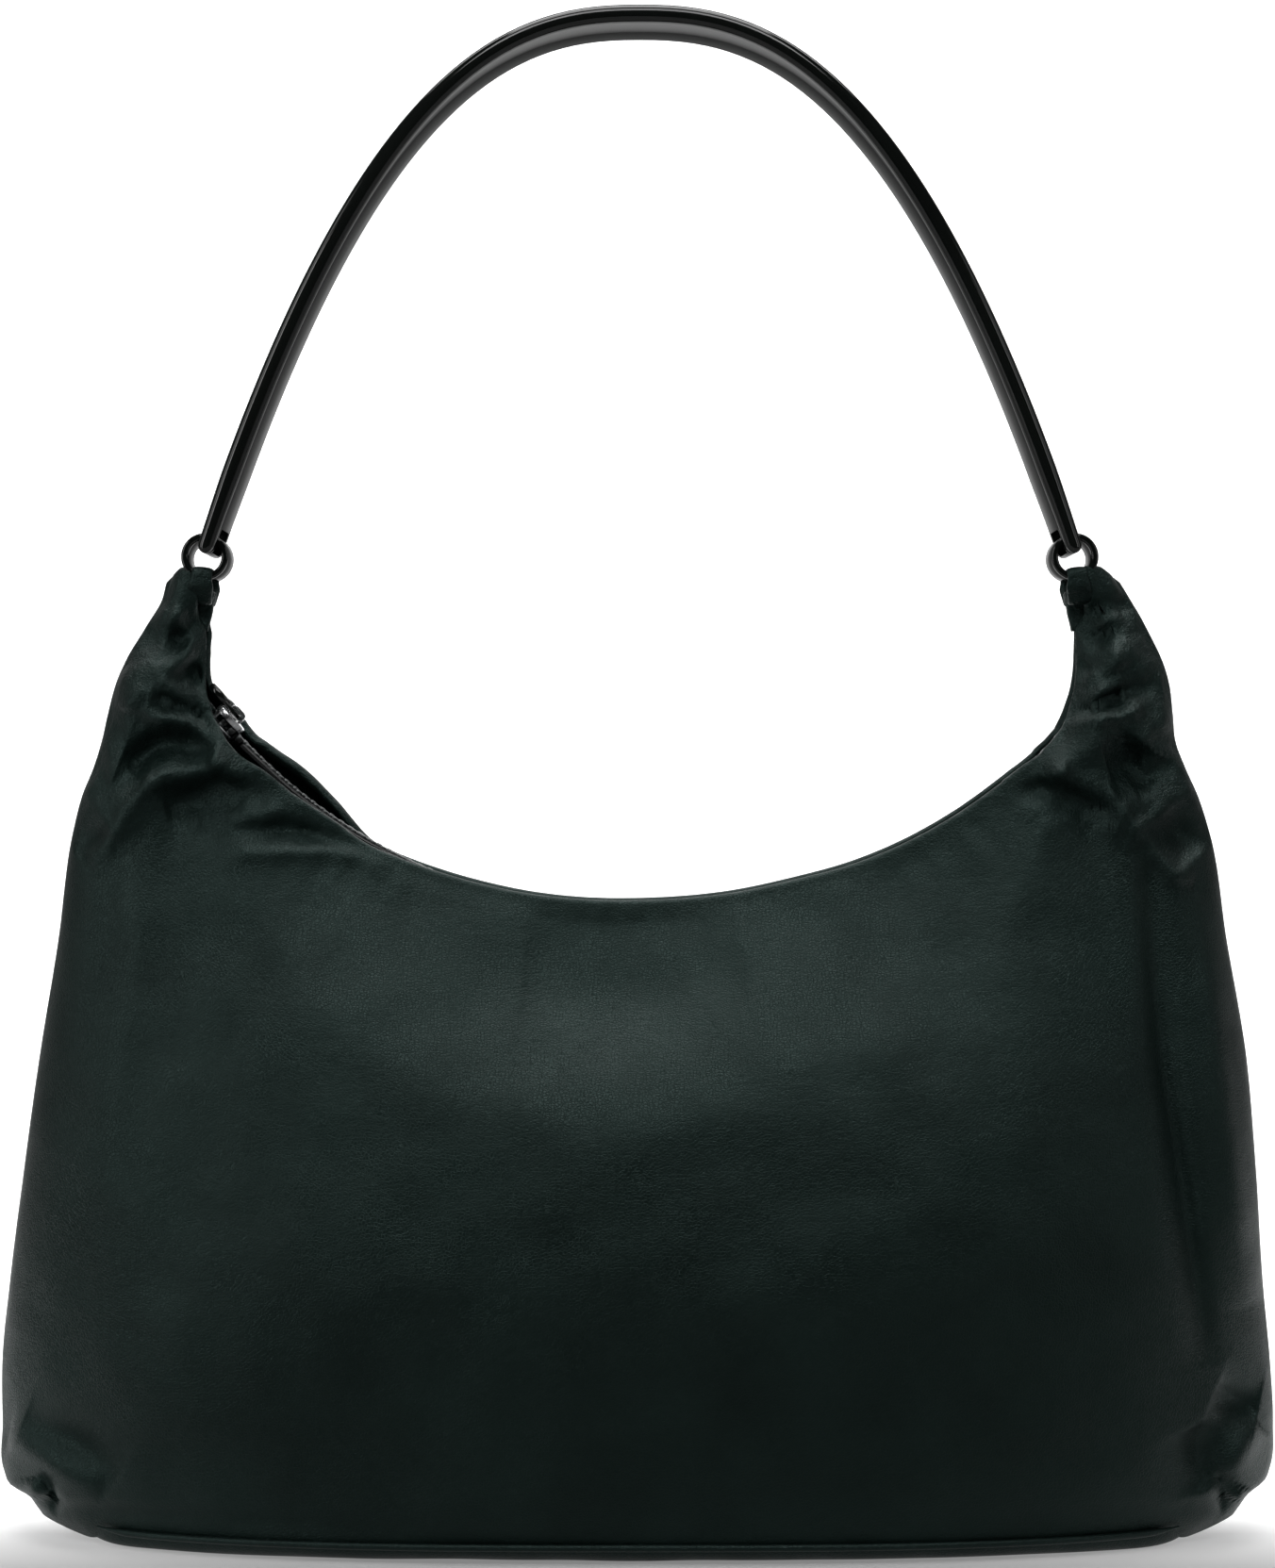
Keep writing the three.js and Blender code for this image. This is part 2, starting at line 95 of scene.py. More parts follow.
# The back edge is rolled fuller at the left, between these distances from the middle.
FULL_LIP = {"extra": 2.0, "starts": (58, 66), "ends": (84, 92)}
LINING = {"limit": 0.985, "above_seam": 2, "below_rim": 19, "top_z": 137, "gap": 1.2, "thickness": 0.6}
FACING = {"limit": 0.72, "height": 18, "below_rim": 2, "below_chain": 1.5, "gap": 0.3, "thickness": 1.0}
WELT = {"radius": 0.8, "limit": 0.89, "out": 0.9, "down": 0.1}
BOARD = {"low": 1.9, "high": 3.7}
BASE_CLOTH = {"low": 4.0, "high": 4.6}
TAPE = {"outer": 8.1, "inner": 2.3, "half": 0.3, "from": -46, "to": 43.5}
TOOTH = {"pitch": 2.5, "length": 1.5, "height": 0.85, "root": 2.2, "reach": 0.95}
STOP = {"angle": 47, "half_length": 0.5, "half_width": 2.2, "half": 1.0}
TAB = {"angles": {"left": -51.5, "right": 48.6}, "half_length": 1.6, "half_width": 1.9, "half": 0.5}
SLIDER_ANGLE = -49
PLATE = {"half_length": 3.9, "half_width": 3.6, "taper": 1.0, "inner": 0.9, "top": 2.35, "bottom": 2.1}
POST = {"from": -3.6, "to": -2.4, "half_width": 0.8, "half": 1.5, "edge": 0.2}
BRIDGE = [(1.0, 4.45), (1.5, 4.3), (1.75, 3.9), (1.75, 2.3)]  # half of its outline: along, up
PULL = {"reach": 6.1, "half_length": 3.2, "half_width": 1.9}
PIN = {"along": 0.6, "up": 3.25, "radius": 0.42, "inner_end": 1.2, "outer_end": 1.7}
ARM = {"y": 1.4, "back": 4.2, "ahead": 0.5, "half_width": 0.3, "half": 0.38}
RING = {"x": 95.5, "z": 215.5, "outer": 5.2, "inner": 3.65, "half_depth": 6, "edge": 0.55}
HANDLE = {
    "top_z": 333.9, "rise": 119.9, "half_span": 96, "power": 2.45, "half_thickness": 2.1, "half_depth": 10.5,
}
HANDLE_END = {"x": 95.35, "z": 215.7, "radius": 1.8}
SLOT = {"half_width": 5, "half_depth": 7, "from": 1.0, "to": 6.6, "edge": 0.8}
LOOP = {"half_width": 2.75, "half_ply": 0.6, "foot_x": 97.2, "foot_z": 199.5, "radius": 6.85}

# ---------------------------------------------------------------- small maths


def smooth(v, low, high):
    s = np.clip((np.asarray(v, float) - low) / (high - low), 0, 1)
    return s * s * (3 - 2 * s)


def share(v, low, high):
    return np.clip((np.asarray(v, float) - low) / (high - low), 0, 1)


def curve_through(points):
    """A smooth function through (input, output) pairs."""
    xs, ys = np.array(points, float).T
    slopes = np.gradient(ys, xs)

    def value(x):
        x = np.clip(x, xs[0], xs[-1])
        k = np.clip(np.searchsorted(xs, x) - 1, 0, len(xs) - 2)
        width = xs[k + 1] - xs[k]
        s = (x - xs[k]) / width
        a = ys[k] * (2 * s**3 - 3 * s**2 + 1) + ys[k + 1] * (3 * s**2 - 2 * s**3)
        return a + width * (slopes[k] * (s**3 - 2 * s**2 + s) + slopes[k + 1] * (s**3 - s**2))

    return value


def waves(x, z, seed, size, count=24):
    """Smooth random unevenness between about -1 and 1, with features of about `size` millimetres."""
    rng = np.random.default_rng(seed)
    total = np.zeros_like(np.asarray(x, float))
    for _ in range(count):
        angle, phase = rng.uniform(0, 2 * np.pi, 2)
        k = 2 * np.pi / (size * rng.uniform(0.7, 1.6))
        total = total + np.sin(k * (np.cos(angle) * x + np.sin(angle) * z) + phase)
    return total / math.sqrt(count)


# ---------------------------------------------------------------- the shell's shape

half_width_of = {side: curve_through(points) for side, points in OUTLINE.items()}


def half_width(f, z):
    z = np.asarray(z, float)
    return np.where(np.asarray(f) < 0, half_width_of[LEFT](z), half_width_of[RIGHT](z))


# How far the sagging edge lies under an even arc, at a distance to the right.
rim_drop = curve_through([
    (-88.4, 1.0), (-80.8, 1.0), (-75.7, 1.2), (-70.6, 1.6), (-66, 2.1), (-61.5, 2.6), (-55, 2.7), (-47, 2.6),
    (-35, 2.4), (-22, 2.2), (-10, 1.9), (0, 1.6), (20, 1.4), (35, 1.3), (47, 1.8), (59, 1.9), (70, 1.6),
    (80, 1.1), (88, 0.8),
])
# How far the back panel's edge stands above the front one, at a distance to the left.
back_rise = curve_through([
    (58, 0), (61, 0.5), (64, 1.6), (67, 2.9), (70.5, 3.8), (74, 4.3), (78, 4.5), (82, 4.3), (86, 4.3),
    (88.5, 5.6), (91, 6.2), (93.5, 4.6), (95.5, 1.8), (97, 0),
])


def rim_z(f, face):
    """Height of a panel's upper edge at share f of the half width."""
    a = np.abs(f)
    z = np.full_like(a, MOUTH["centre_z"] - MOUTH["radius"])
    for _ in range(12):
        x = np.minimum(a * half_width(f, z), MOUTH["radius"])
        z = MOUTH["centre_z"] - np.sqrt(MOUTH["radius"] ** 2 - x**2) - rim_drop(np.sign(f) * x)
    for side, edge in HORN_EDGE.items():
        shares, heights = np.array(edge).T
        z = np.where(side * f > shares[0], np.interp(a, shares, heights), z)
    if face == BACK:
        z = z + back_rise(-f * half_width(f, z))
    return z


def seam_z(f):
    return BASE["height"] + BASE["end_rise"] * share(np.abs(f), BASE["flat"], 1) ** 2


def panel_low(f):
    """Lower edge of a panel: the base seam, and further under at the corners, which have no visible seam."""
    return seam_z(f) - BASE["wrap"] * smooth(np.abs(f), 0.85, 0.93)


def base_depth(f):
    return BASE["half_depth"] * (1 - np.minimum(np.abs(f), 1) ** 3) ** 0.7


def shell_depth(f, t, z):
    """Half the shell's depth at share f of the half width and share t of the panel's height."""
    a = np.minimum(np.abs(f), 1)
    belly = BELLY["half_depth"] * (1 - a**2.6) ** 0.55
    closed = HORN["closed"] * np.sqrt(1 - share(a, 0.97, 1) ** 2)
    below = smooth(1 - t, 0, 0.22)
    narrowing = smooth((a - 0.74 + 0.155 * below) / (0.12 + 0.225 * below), 0, 1)
    mouth = MOUTH["half_depth"] + (closed - MOUTH["half_depth"]) * narrowing
    under = (1 - share(z - panel_low(f), 0, BASE["wrap"])) ** 2 * smooth(a, 0.85, 0.93)
    base = base_depth(f) * (1 - 0.2 * under)
    low = base + (belly - base) * np.sin(np.pi / 2 * np.minimum(t / BELLY["at"], 1))
    lean = np.cos(np.pi / 2 * share(t, BELLY["at"], 1)) ** 1.15
    high = mouth + (np.maximum(belly, mouth) - mouth) * lean
    swell = HORN["swell"] * np.sin(np.pi * share(a, 0.70, 1)) ** 0.8 * smooth(z, 150, 186)
    tip = HORN["tip"] * np.sin(np.pi * share(a, 0.9, 1)) * smooth(z, 198, 205)
    sleeve = HORN["sleeve"] * np.sqrt(np.sin(np.pi * share(a, 0.89, 0.99))) * smooth(z, 199, 206)
    return np.maximum(np.where(t < BELLY["at"], low, high) + (swell + tip) * (1 - t**18), closed + sleeve)


# Each fold: height (negative is a hollow), width, points as (x, z).
FRONT_FOLDS = [
    # left horn
    (1.9, 2.6, [(-96.7, 195.5), (-101.3, 192.4), (-105, 190.1), (-104.1, 186.9), (-100.4, 185),
                (-94.8, 182.7), (-89, 179.6)]),
    (-2.4, 3.4, [(-99.6, 192.6), (-93, 186.6)]),
    (-1.2, 2.0, [(-103.3, 198.6), (-98.6, 197.2)]),
    (1.2, 2.4, [(-103.5, 202.4), (-98.6, 200.0), (-96.6, 196.4)]),
    (-2.4, 2.3, [(-106.6, 184.4), (-101, 183.0), (-95.6, 180.7), (-91.6, 178.7)]),
    (2.0, 2.3, [(-108.6, 182.4), (-105.9, 179.9), (-101.3, 179.4), (-97.6, 178.3), (-93, 175.6),
                (-90.2, 173.4)]),
    (1.0, 1.6, [(-94.8, 179.2), (-89.2, 176.2), (-86, 173.8)]),
    (-3.2, 4.2, [(-112.5, 170.5), (-101.5, 175), (-92.6, 173.4)]),
    (-2.0, 4.4, [(-113.5, 171), (-107, 168.6)]),
    (1.6, 2.2, [(-92.6, 174.4), (-90.6, 171.4), (-93.2, 168.8)]),
    (2.5, 3.0, [(-121, 149), (-116.6, 152.3), (-113.6, 156.7), (-111, 161.2), (-107.6, 165), (-103.5, 167.2),
                (-98, 168.3), (-92.6, 169.4), (-87.4, 168.4), (-82.7, 168.4), (-79.4, 165.6)]),
    (-1.1, 2.6, [(-123.6, 150.4), (-116, 156.6)]),
    (-2.1, 3.2, [(-104, 161.4), (-96.6, 164.2), (-91.1, 165.6), (-80.9, 163)]),
    (-1.6, 3.6, [(-103.4, 160), (-94.8, 161), (-86, 160.4)]),
    (1.3, 2.8, [(-90.3, 157), (-82.7, 158), (-77.4, 159.7), (-76.8, 163)]),
    (-2.0, 3.0, [(-96.6, 155.9), (-80, 155.9), (-68, 154.3), (-54.6, 151.4)]),
    (1.0, 2.2, [(-91.5, 150.4), (-76.5, 151.2), (-66.5, 151.4), (-48, 147.6)]),
    (1.4, 4.0, [(-112.4, 192), (-111.2, 186.0), (-112.2, 181)]),
    # right horn
    (-1.5, 2.6, [(97.6, 203.0), (108.4, 205.2)]),
    (1.4, 1.5, [(97.4, 199.6), (101.4, 201.2), (105.8, 203.2)]),
    (-1.1, 1.2, [(97.4, 198.2), (104, 199.0)]),
    (1.8, 4.0, [(101.0, 195.6), (103.6, 191.8), (104.4, 190.2)]),
    (-1.8, 3.0, [(95.9, 193.5), (96.8, 189.2)]),
    (1.6, 1.5, [(94.4, 182.0), (99.5, 184.9), (106.3, 188.4)]),
    (-2.2, 2.3, [(92.4, 180.6), (100.3, 182.9), (106.6, 185.6), (114.4, 187.4)]),
    (2.0, 2.0, [(91.5, 178.3), (98, 179.7), (104, 180.2), (109.8, 182.4)]),
    (1.8, 4.2, [(101.6, 178), (96.6, 174), (91.6, 170.4), (86, 168.2)]),
    (-3.8, 5.0, [(109.6, 174.6), (107, 170.5), (101.6, 168.8)]),
    (-1.6, 3.2, [(114.6, 172.5), (112.6, 167.6), (107.4, 165.2)]),
    (2.0, 2.2, [(82, 166.0), (87.8, 167.5), (92.4, 167.4), (97, 165.2), (101.2, 163.2), (104.4, 160.4),
                (107, 156.6), (108.6, 152)]),
    (-1.9, 3.0, [(80, 166.4), (88, 164.9), (96, 161.9), (104.2, 157.6)]),
    (0.9, 1.2, [(96.6, 158.6), (104.4, 157.8)]),
    (0.8, 1.1, [(98.6, 156.2), (105.4, 155.2)]),
    (-2.6, 3.4, [(109.6, 156.8), (110.6, 148), (111.4, 130), (113.6, 104), (118, 72), (122.5, 40)]),
    (1.7, 2.2, [(108.4, 158), (112.1, 150.5), (116, 146.2), (121, 144.6)]),
    (-2.6, 4.6, [(114.4, 159.6), (118.4, 154), (121.4, 149.6)]),
    (1.5, 4.5, [(121.4, 143.5), (124.4, 118), (128, 88), (132.4, 52)]),
    # bottom corners
    (-1.9, 4.8, [(-134, 27.6), (-122.7, 22.9), (-112, 16.6)]),
    (2.0, 4.4, [(-138.6, 22.4), (-128.4, 19.8), (-116, 13.8)]),
    (-1.5, 1.3, [(-129.6, 16), (-127.9, 11), (-128.6, 5)]),
    (1.2, 2.4, [(-132.6, 14), (-131.4, 9.6)]),
    (-2.4, 4.0, [(124, 33.6), (130, 30.6), (135, 29)]),
    (-2.2, 4.6, [(119, 27), (120.6, 22.4), (123, 13)]),
    (2.2, 4.4, [(135, 26), (131.6, 22.8), (127, 15)]),
    (-1.5, 1.5, [(125.8, 16), (127.2, 10), (127.9, 5)]),
    (1.2, 2.0, [(131, 12), (130, 9)]),
    # broad slack across the front
    (1.6, 17, [(-78, 124), (-40, 101), (0, 97), (34, 99), (70, 120)]),
    (-1.1, 13, [(-26, 121), (0, 118), (24, 122)]),
    (-0.9, 18, [(-70, 40), (-20, 30), (40, 34), (80, 44)]),
    (0.7, 12, [(-118, 120), (-112, 84), (-116, 50)]),
]

BACK_FOLDS = [
    (2.1, 3.0, [(-121, 152), (-113, 159), (-104, 166), (-94, 169.5), (-84, 167)]),
    (-2.8, 3.6, [(-106, 160.6), (-96, 163.6), (-86, 162.4)]),
    (1.8, 2.6, [(-110, 186), (-103, 181), (-96, 180.4), (-90, 176)]),
    (-2.6, 4.0, [(-107, 174), (-100, 174.6), (-95, 173)]),
    (1.7, 2.8, [(-104, 197), (-101, 192.6), (-104.6, 188.6)]),
    (-1.6, 2.6, [(-98, 189), (-95.6, 186)]),
    (1.6, 4.0, [(-118, 140), (-123, 112), (-126, 80)]),
    (-2.0, 4.0, [(-108, 148), (-111, 120), (-114, 90), (-118, 60)]),
    (2.2, 2.6, [(120, 146), (115, 154), (109, 161), (101, 166), (92, 168), (84, 165.6)]),
    (-3.0, 3.2, [(104, 158), (96, 162), (88, 162)]),
    (1.9, 2.2, [(112, 184), (105, 180.4), (98, 181), (92, 178)]),
    (-2.6, 3.4, [(110, 174), (103, 174), (98, 171.6)]),
    (1.4, 2.8, [(104, 199), (101, 194), (104, 189.4)]),
    (-1.8, 3.8, [(112, 146), (112, 118), (116, 84)]),
    (1.2, 15, [(-70, 118), (-30, 98), (20, 96), (66, 116)]),
    (-1.0, 15, [(-50, 44), (0, 32), (60, 46)]),
    (2.4, 4.2, [(-134, 22), (-126, 19), (-119, 15)]),
    (-2.4, 4.4, [(-127, 27), (-120, 23)]),
    (2.4, 4.4, [(133, 21), (126, 18)]),
    (-2.4, 4.2, [(127, 28), (120, 23)]),
]
FOLDS = {FRONT: FRONT_FOLDS, BACK: BACK_FOLDS}
FOLD_GAIN = 1.75


def fold_height(x, z, height, width, points):
    """One ridge or hollow along a line of points: sharp across, tapering at both ends."""
    path = np.array(points, float)
    best = np.full_like(x, np.inf)
    along = np.zeros_like(x)
    lengths = np.hypot(*np.diff(path, axis=0).T)
    total, done = lengths.sum(), 0
    for k, length in enumerate(lengths):
        step = (path[k + 1] - path[k]) / length
        s = np.clip((x - path[k, 0]) * step[0] + (z - path[k, 1]) * step[1], 0, length)
        d = np.hypot(x - path[k, 0] - s * step[0], z - path[k, 1] - s * step[1])
        nearer = d < best
        best = np.where(nearer, d, best)
        along = np.where(nearer, (done + s) / total, along)
        done += length
    taper = np.clip(np.sin(np.pi * along), 0, 1) ** 0.6
    return height * taper / np.cosh(1.5 * best / width)


def gathers(x, t, z, f, face):
    """Small puckers where the leather is gathered into the mouth's edge."""
    near = np.exp(-(((1 - t) * 130) / 9) ** 1.2)
    arc = np.arctan2(x, MOUTH["centre_z"] - z) * MOUTH["radius"]
    ripple = np.sin(2 * np.pi * arc / 6.3 + 2.2 * np.sin(arc / 17 + face))
    ripple = ripple * (0.5 + 0.5 * np.sin(arc / 11 + 1.3))
    return 0.28 * near * ripple * (1 - smooth(np.abs(f), 0.72, 0.8))


def relief(f, t, x, z, face):
    """How far the leather stands out from its even shape."""
    total = np.zeros_like(x)
    for height, width, points in FOLDS[face]:
        total += FOLD_GAIN * fold_height(x, z, height, width, points)
    uneven = 0.55 * waves(x, z, 3 + face, 55) + 0.16 * waves(x, z, 11 + face, 16)
    creased = 0.42 * waves(x, z, 23 + face, 9) + 0.13 * waves(x, z, 29 + face, 4)
    horn = creased * smooth(np.abs(f), 0.6, 0.75) * smooth(z, 148, 165)
    return total + uneven + horn + gathers(x, t, z, f, face)


def shell_point(f, t, face):
    """Points of the panel's outside for arrays of shares f and t."""
    low, high = panel_low(f), rim_z(f, face)
    z = low + (high - low) * t
    x = f * half_width(f, z)
    depth = shell_depth(f, t, z)
    out = relief(f, t, x, z, face)
    room = smooth(depth, 0.3, 5) * smooth(t, 0, 0.03)
    rim = 1 - 0.75 * smooth(t, 0.965, 1)
    depth = np.maximum(depth + out * room * rim, 0.25 * depth)
    seam = 0.55 * np.exp(-((depth / 0.9) ** 2)) * smooth(t, 0, 0.04) * (1 - smooth(np.abs(z), 196, 204))
    x = x - np.sign(f) * (seam + 0.012 * np.minimum(out, 0) * (1 - smooth(depth, 0, 12)))
    return np.stack([x, face * depth, z], -1)


def normals_of(points, face):
    along = np.gradient(points, axis=1)
    up = np.gradient(points, axis=0)
    n = np.cross(along, up)
    n /= np.maximum(np.linalg.norm(n, axis=-1, keepdims=True), 1e-9)
    return n if face == FRONT else -n


# ---------------------------------------------------------------- meshes


def make_mesh(name, points, faces, finish, sharp=None):
    mesh = bpy.data.meshes.new(name)
    mesh.from_pydata((np.asarray(points, float).reshape(-1, 3) * MM).tolist(), [], faces)
    mesh.polygons.foreach_set("use_smooth", [True] * len(mesh.polygons))
    if sharp is not None:
        mesh.set_sharp_from_angle(angle=math.radians(sharp))
    mesh.materials.append(finish)
    obj = bpy.data.objects.new(name, mesh)
    bpy.context.scene.collection.objects.link(obj)
    return obj


def grid_faces(rows, columns, wrap=False, turn=False):
    """Quads over a grid of points; wrap joins the last column to the first."""
    faces = []
    last = columns if wrap else columns - 1
    for i in range(rows - 1):
        for j in range(last):
            k = (j + 1) % columns
            quad = (i * columns + j, i * columns + k, (i + 1) * columns + k, (i + 1) * columns + j)
            faces.append(quad[::-1] if turn else quad)
    return faces


def loft(sections, capped=True, turn=False):
    """Points and faces of a tube through equal rings of points."""
    sections = np.asarray(sections, float)
    rows, columns = sections.shape[:2]
    faces = grid_faces(rows, columns, True, turn)
    if capped:
        first = tuple(range(columns))
        final = tuple((rows - 1) * columns + j for j in range(columns))
        faces += [first if turn else first[::-1], final[::-1] if turn else final]
    return sections.reshape(-1, 3), faces


class Parts:
    """Collects pieces of mesh that belong to one object."""

    def __init__(self):
        self.points, self.faces, self.count = [], [], 0

    def add(self, points, faces):
        self.points.append(np.asarray(points, float).reshape(-1, 3))
        self.faces += [tuple(i + self.count for i in face) for face in faces]
        self.count += len(self.points[-1])

    def tube(self, sections, capped=True, turn=False):
        self.add(*loft(sections, capped, turn))

    def mesh(self, name, finish, sharp=None):
        return make_mesh(name, np.concatenate(self.points), self.faces, finish, sharp)


def rounded_box(low, high, edge, steps=3):
    """A box with rounded edges, as a loft along Z."""
    low, high = np.array(low, float), np.array(high, float)
    rings = []
    heights = [(low[2] + edge * (1 - math.cos(a)), edge * (1 - math.sin(a)))
               for a in np.linspace(0, math.pi / 2, steps + 1)]
    heights += [(high[2] - edge * (1 - math.cos(a)), edge * (1 - math.sin(a)))
                for a in np.linspace(math.pi / 2, 0, steps + 1)]
    for z, inset in heights:
        ring = []
        for cx, cy, start in ((1, 1, 0), (-1, 1, 90), (-1, -1, 180), (1, -1, 270)):
            corner = (high[0] if cx > 0 else low[0], high[1] if cy > 0 else low[1])
            for a in np.radians(np.linspace(start, start + 90, steps + 1)):
                reach = edge - inset
                x = corner[0] - cx * edge + reach * math.cos(a)
                y = corner[1] - cy * edge + reach * math.sin(a)
                ring.append((x, y, z))
        rings.append(ring)
    return loft(rings)


def sweep(path, frames, sections):
    """Rings of points (pairs a, b) set along a path by the two directions of each frame."""
    rings = []
    for point, (first, second), flat in zip(path, frames, sections):
        rings.append([np.array(point) + a * np.array(first) + b * np.array(second) for a, b in flat])
    return rings


def rounded_rectangle(half_a, half_b, radius, steps=4):
    points = []
    for sa, sb, start in ((1, 1, 0), (-1, 1, 90), (-1, -1, 180), (1, -1, 270)):
        for angle in np.radians(np.linspace(start, start + 90, steps + 1)):
            points.append((sa * (half_a - radius) + radius * math.cos(angle),
                           sb * (half_b - radius) + radius * math.sin(angle)))
    return points


def circle(radius, count=12):
    turns = np.linspace(0, 2 * np.pi, count, endpoint=False)
    return [(radius * math.cos(a), radius * math.sin(a)) for a in turns]


# ---------------------------------------------------------------- materials


def material(name, color, roughness, metallic=0.0):
    mat = bpy.data.materials.new(name)
    mat.use_nodes = True
    nodes, links = mat.node_tree.nodes, mat.node_tree.links
    shader = nodes["Principled BSDF"]
    shader.inputs["Base Color"].default_value = (*color, 1)
    shader.inputs["Roughness"].default_value = roughness
    shader.inputs["Metallic"].default_value = metallic
    where = nodes.new("ShaderNodeTexCoord")
    return mat, nodes, links, shader, where.outputs["Object"]


def noise(nodes, links, where, scale, detail=3.0, roughness=0.5):
    texture = nodes.new("ShaderNodeTexNoise")
    texture.inputs["Scale"].default_value = scale
    texture.inputs["Detail"].default_value = detail
    texture.inputs["Roughness"].default_value = roughness
    links.new(where, texture.inputs["Vector"])
    return texture.outputs["Fac"]


def remap(nodes, links, value, low, high, new_low, new_high):
    node = nodes.new("ShaderNodeMapRange")
    for name, number in zip(("From Min", "From Max", "To Min", "To Max"), (low, high, new_low, new_high)):
        node.inputs[name].default_value = number
    links.new(value, node.inputs["Value"])
    return node.outputs["Result"]


def maths(nodes, links, operation, *values):
    node = nodes.new("ShaderNodeMath")
    node.operation = operation
    for socket, value in zip(node.inputs, values):
        if isinstance(value, (int, float)):
            socket.default_value = value
        else:
            links.new(value, socket)
    return node.outputs[0]


def mixed_colour(nodes, links, value, dark, light):
    node = nodes.new("ShaderNodeMix")
    node.data_type = "RGBA"
    node.inputs["A"].default_value = (*dark, 1)
    node.inputs["B"].default_value = (*light, 1)
    links.new(value, node.inputs["Factor"])
    return node.outputs["Result"]


def bump(nodes, links, shader, height, distance, strength=1.0, under=None):
    node = nodes.new("ShaderNodeBump")
    node.inputs["Distance"].default_value = distance
    node.inputs["Strength"].default_value = strength
    links.new(height, node.inputs["Height"])
    if under is not None:
        links.new(under, node.inputs["Normal"])
    links.new(node.outputs["Normal"], shader.inputs["Normal"])
    return node.outputs["Normal"]


LEATHER_SHEEN = 0.28
LEATHER_TINT = (0.63, 0.93, 0.87)


def leather(name, dark, light, rough, grain):
    """Fine-grained calf: small pebbles, soft blotches and a slight polish that varies."""
    mat, nodes, links, shader, where = material(name, light, 0.42)
    shader.inputs["Specular IOR Level"].default_value = LEATHER_SHEEN
    shader.inputs["Specular Tint"].default_value = (*LEATHER_TINT, 1)
    blotch = noise(nodes, links, where, 45, 4)
    links.new(mixed_colour(nodes, links, remap(nodes, links, blotch, 0.3, 0.7, 0, 1), dark, light),
              shader.inputs["Base Color"])
    polish = noise(nodes, links, where, 120, 3)
    links.new(remap(nodes, links, polish, 0.3, 0.7, rough[0], rough[1]), shader.inputs["Roughness"])
    cells = nodes.new("ShaderNodeTexVoronoi")
    cells.feature = "DISTANCE_TO_EDGE"
    cells.inputs["Scale"].default_value = 1500
    links.new(where, cells.inputs["Vector"])
    pebbles = remap(nodes, links, cells.outputs["Distance"], 0, 0.18, 0, 1)
    first = bump(nodes, links, shader, pebbles, grain)
    second = bump(nodes, links, shader, noise(nodes, links, where, 420, 4), 0.00012, 1.0, first)
    split = nodes.new("ShaderNodeSeparateXYZ")
    links.new(where, split.inputs[0])
    gathered = remap(nodes, links, split.outputs["Z"], 0.145, 0.17, 0, 1)
    crinkle = maths(nodes, links, "MULTIPLY", noise(nodes, links, where, 300, 5, 0.6), gathered)
    bump(nodes, links, shader, crinkle, 0.0008, 1.0, second)
    return mat


def lacquer(name, color=(0.004, 0.005, 0.0045), rough=(0.05, 0.12)):
    """Deep black gloss with faint smears and fine dust scratches."""
    mat, nodes, links, shader, where = material(name, color, 0.08)
    smear = noise(nodes, links, where, 60, 3)
    links.new(remap(nodes, links, smear, 0.3, 0.7, rough[0], rough[1]), shader.inputs["Roughness"])
    tint = noise(nodes, links, where, 25, 2)
    dark, light = tuple(c * 0.7 for c in color), tuple(c * 1.5 for c in color)
    links.new(mixed_colour(nodes, links, tint, dark, light), shader.inputs["Base Color"])
    bump(nodes, links, shader, noise(nodes, links, where, 90, 2), 0.00003, 0.6)
    # A hazy skin: seen flat along its face it mirrors less than clear lacquer would.
    edge_on = nodes.new("ShaderNodeLayerWeight")
    edge_on.inputs["Blend"].default_value = 0.5
    links.new(remap(nodes, links, edge_on.outputs["Facing"], 0.5, 0.8, 1.5, 1.012), shader.inputs["IOR"])
    return mat


def metal(name, color=(0.62, 0.63, 0.64), rough=(0.16, 0.34)):
    """Plated metal with brushed wear."""
    mat, nodes, links, shader, where = material(name, color, 0.22, 1.0)
    wear = noise(nodes, links, where, 700, 5, 0.6)
    links.new(remap(nodes, links, wear, 0.3, 0.7, rough[0], rough[1]), shader.inputs["Roughness"])
    worn = tuple(c * 0.8 for c in color)
    links.new(mixed_colour(nodes, links, wear, worn, color), shader.inputs["Base Color"])
    bump(nodes, links, shader, wear, 0.00002, 0.5)
    return mat


def woven(name, dark, light, pitch, depth, rough=0.85):
    """Cloth: two crossed sets of fine threads with uneven dye."""
    mat, nodes, links, shader, where = material(name, light, rough)
    shader.inputs["Specular IOR Level"].default_value = 0.25
    heights = []
    for direction in ("X", "Z"):
        wave = nodes.new("ShaderNodeTexWave")
        wave.bands_direction = direction
        wave.inputs["Scale"].default_value = 0.314 / pitch
        wave.inputs["Distortion"].default_value = 0.6
        links.new(where, wave.inputs["Vector"])
        heights.append(wave.outputs["Fac"])
    weave = maths(nodes, links, "MULTIPLY", *heights)
    dye = noise(nodes, links, where, 300, 4)
    links.new(mixed_colour(nodes, links, dye, dark, light), shader.inputs["Base Color"])
    bump(nodes, links, shader, weave, depth)
    return mat


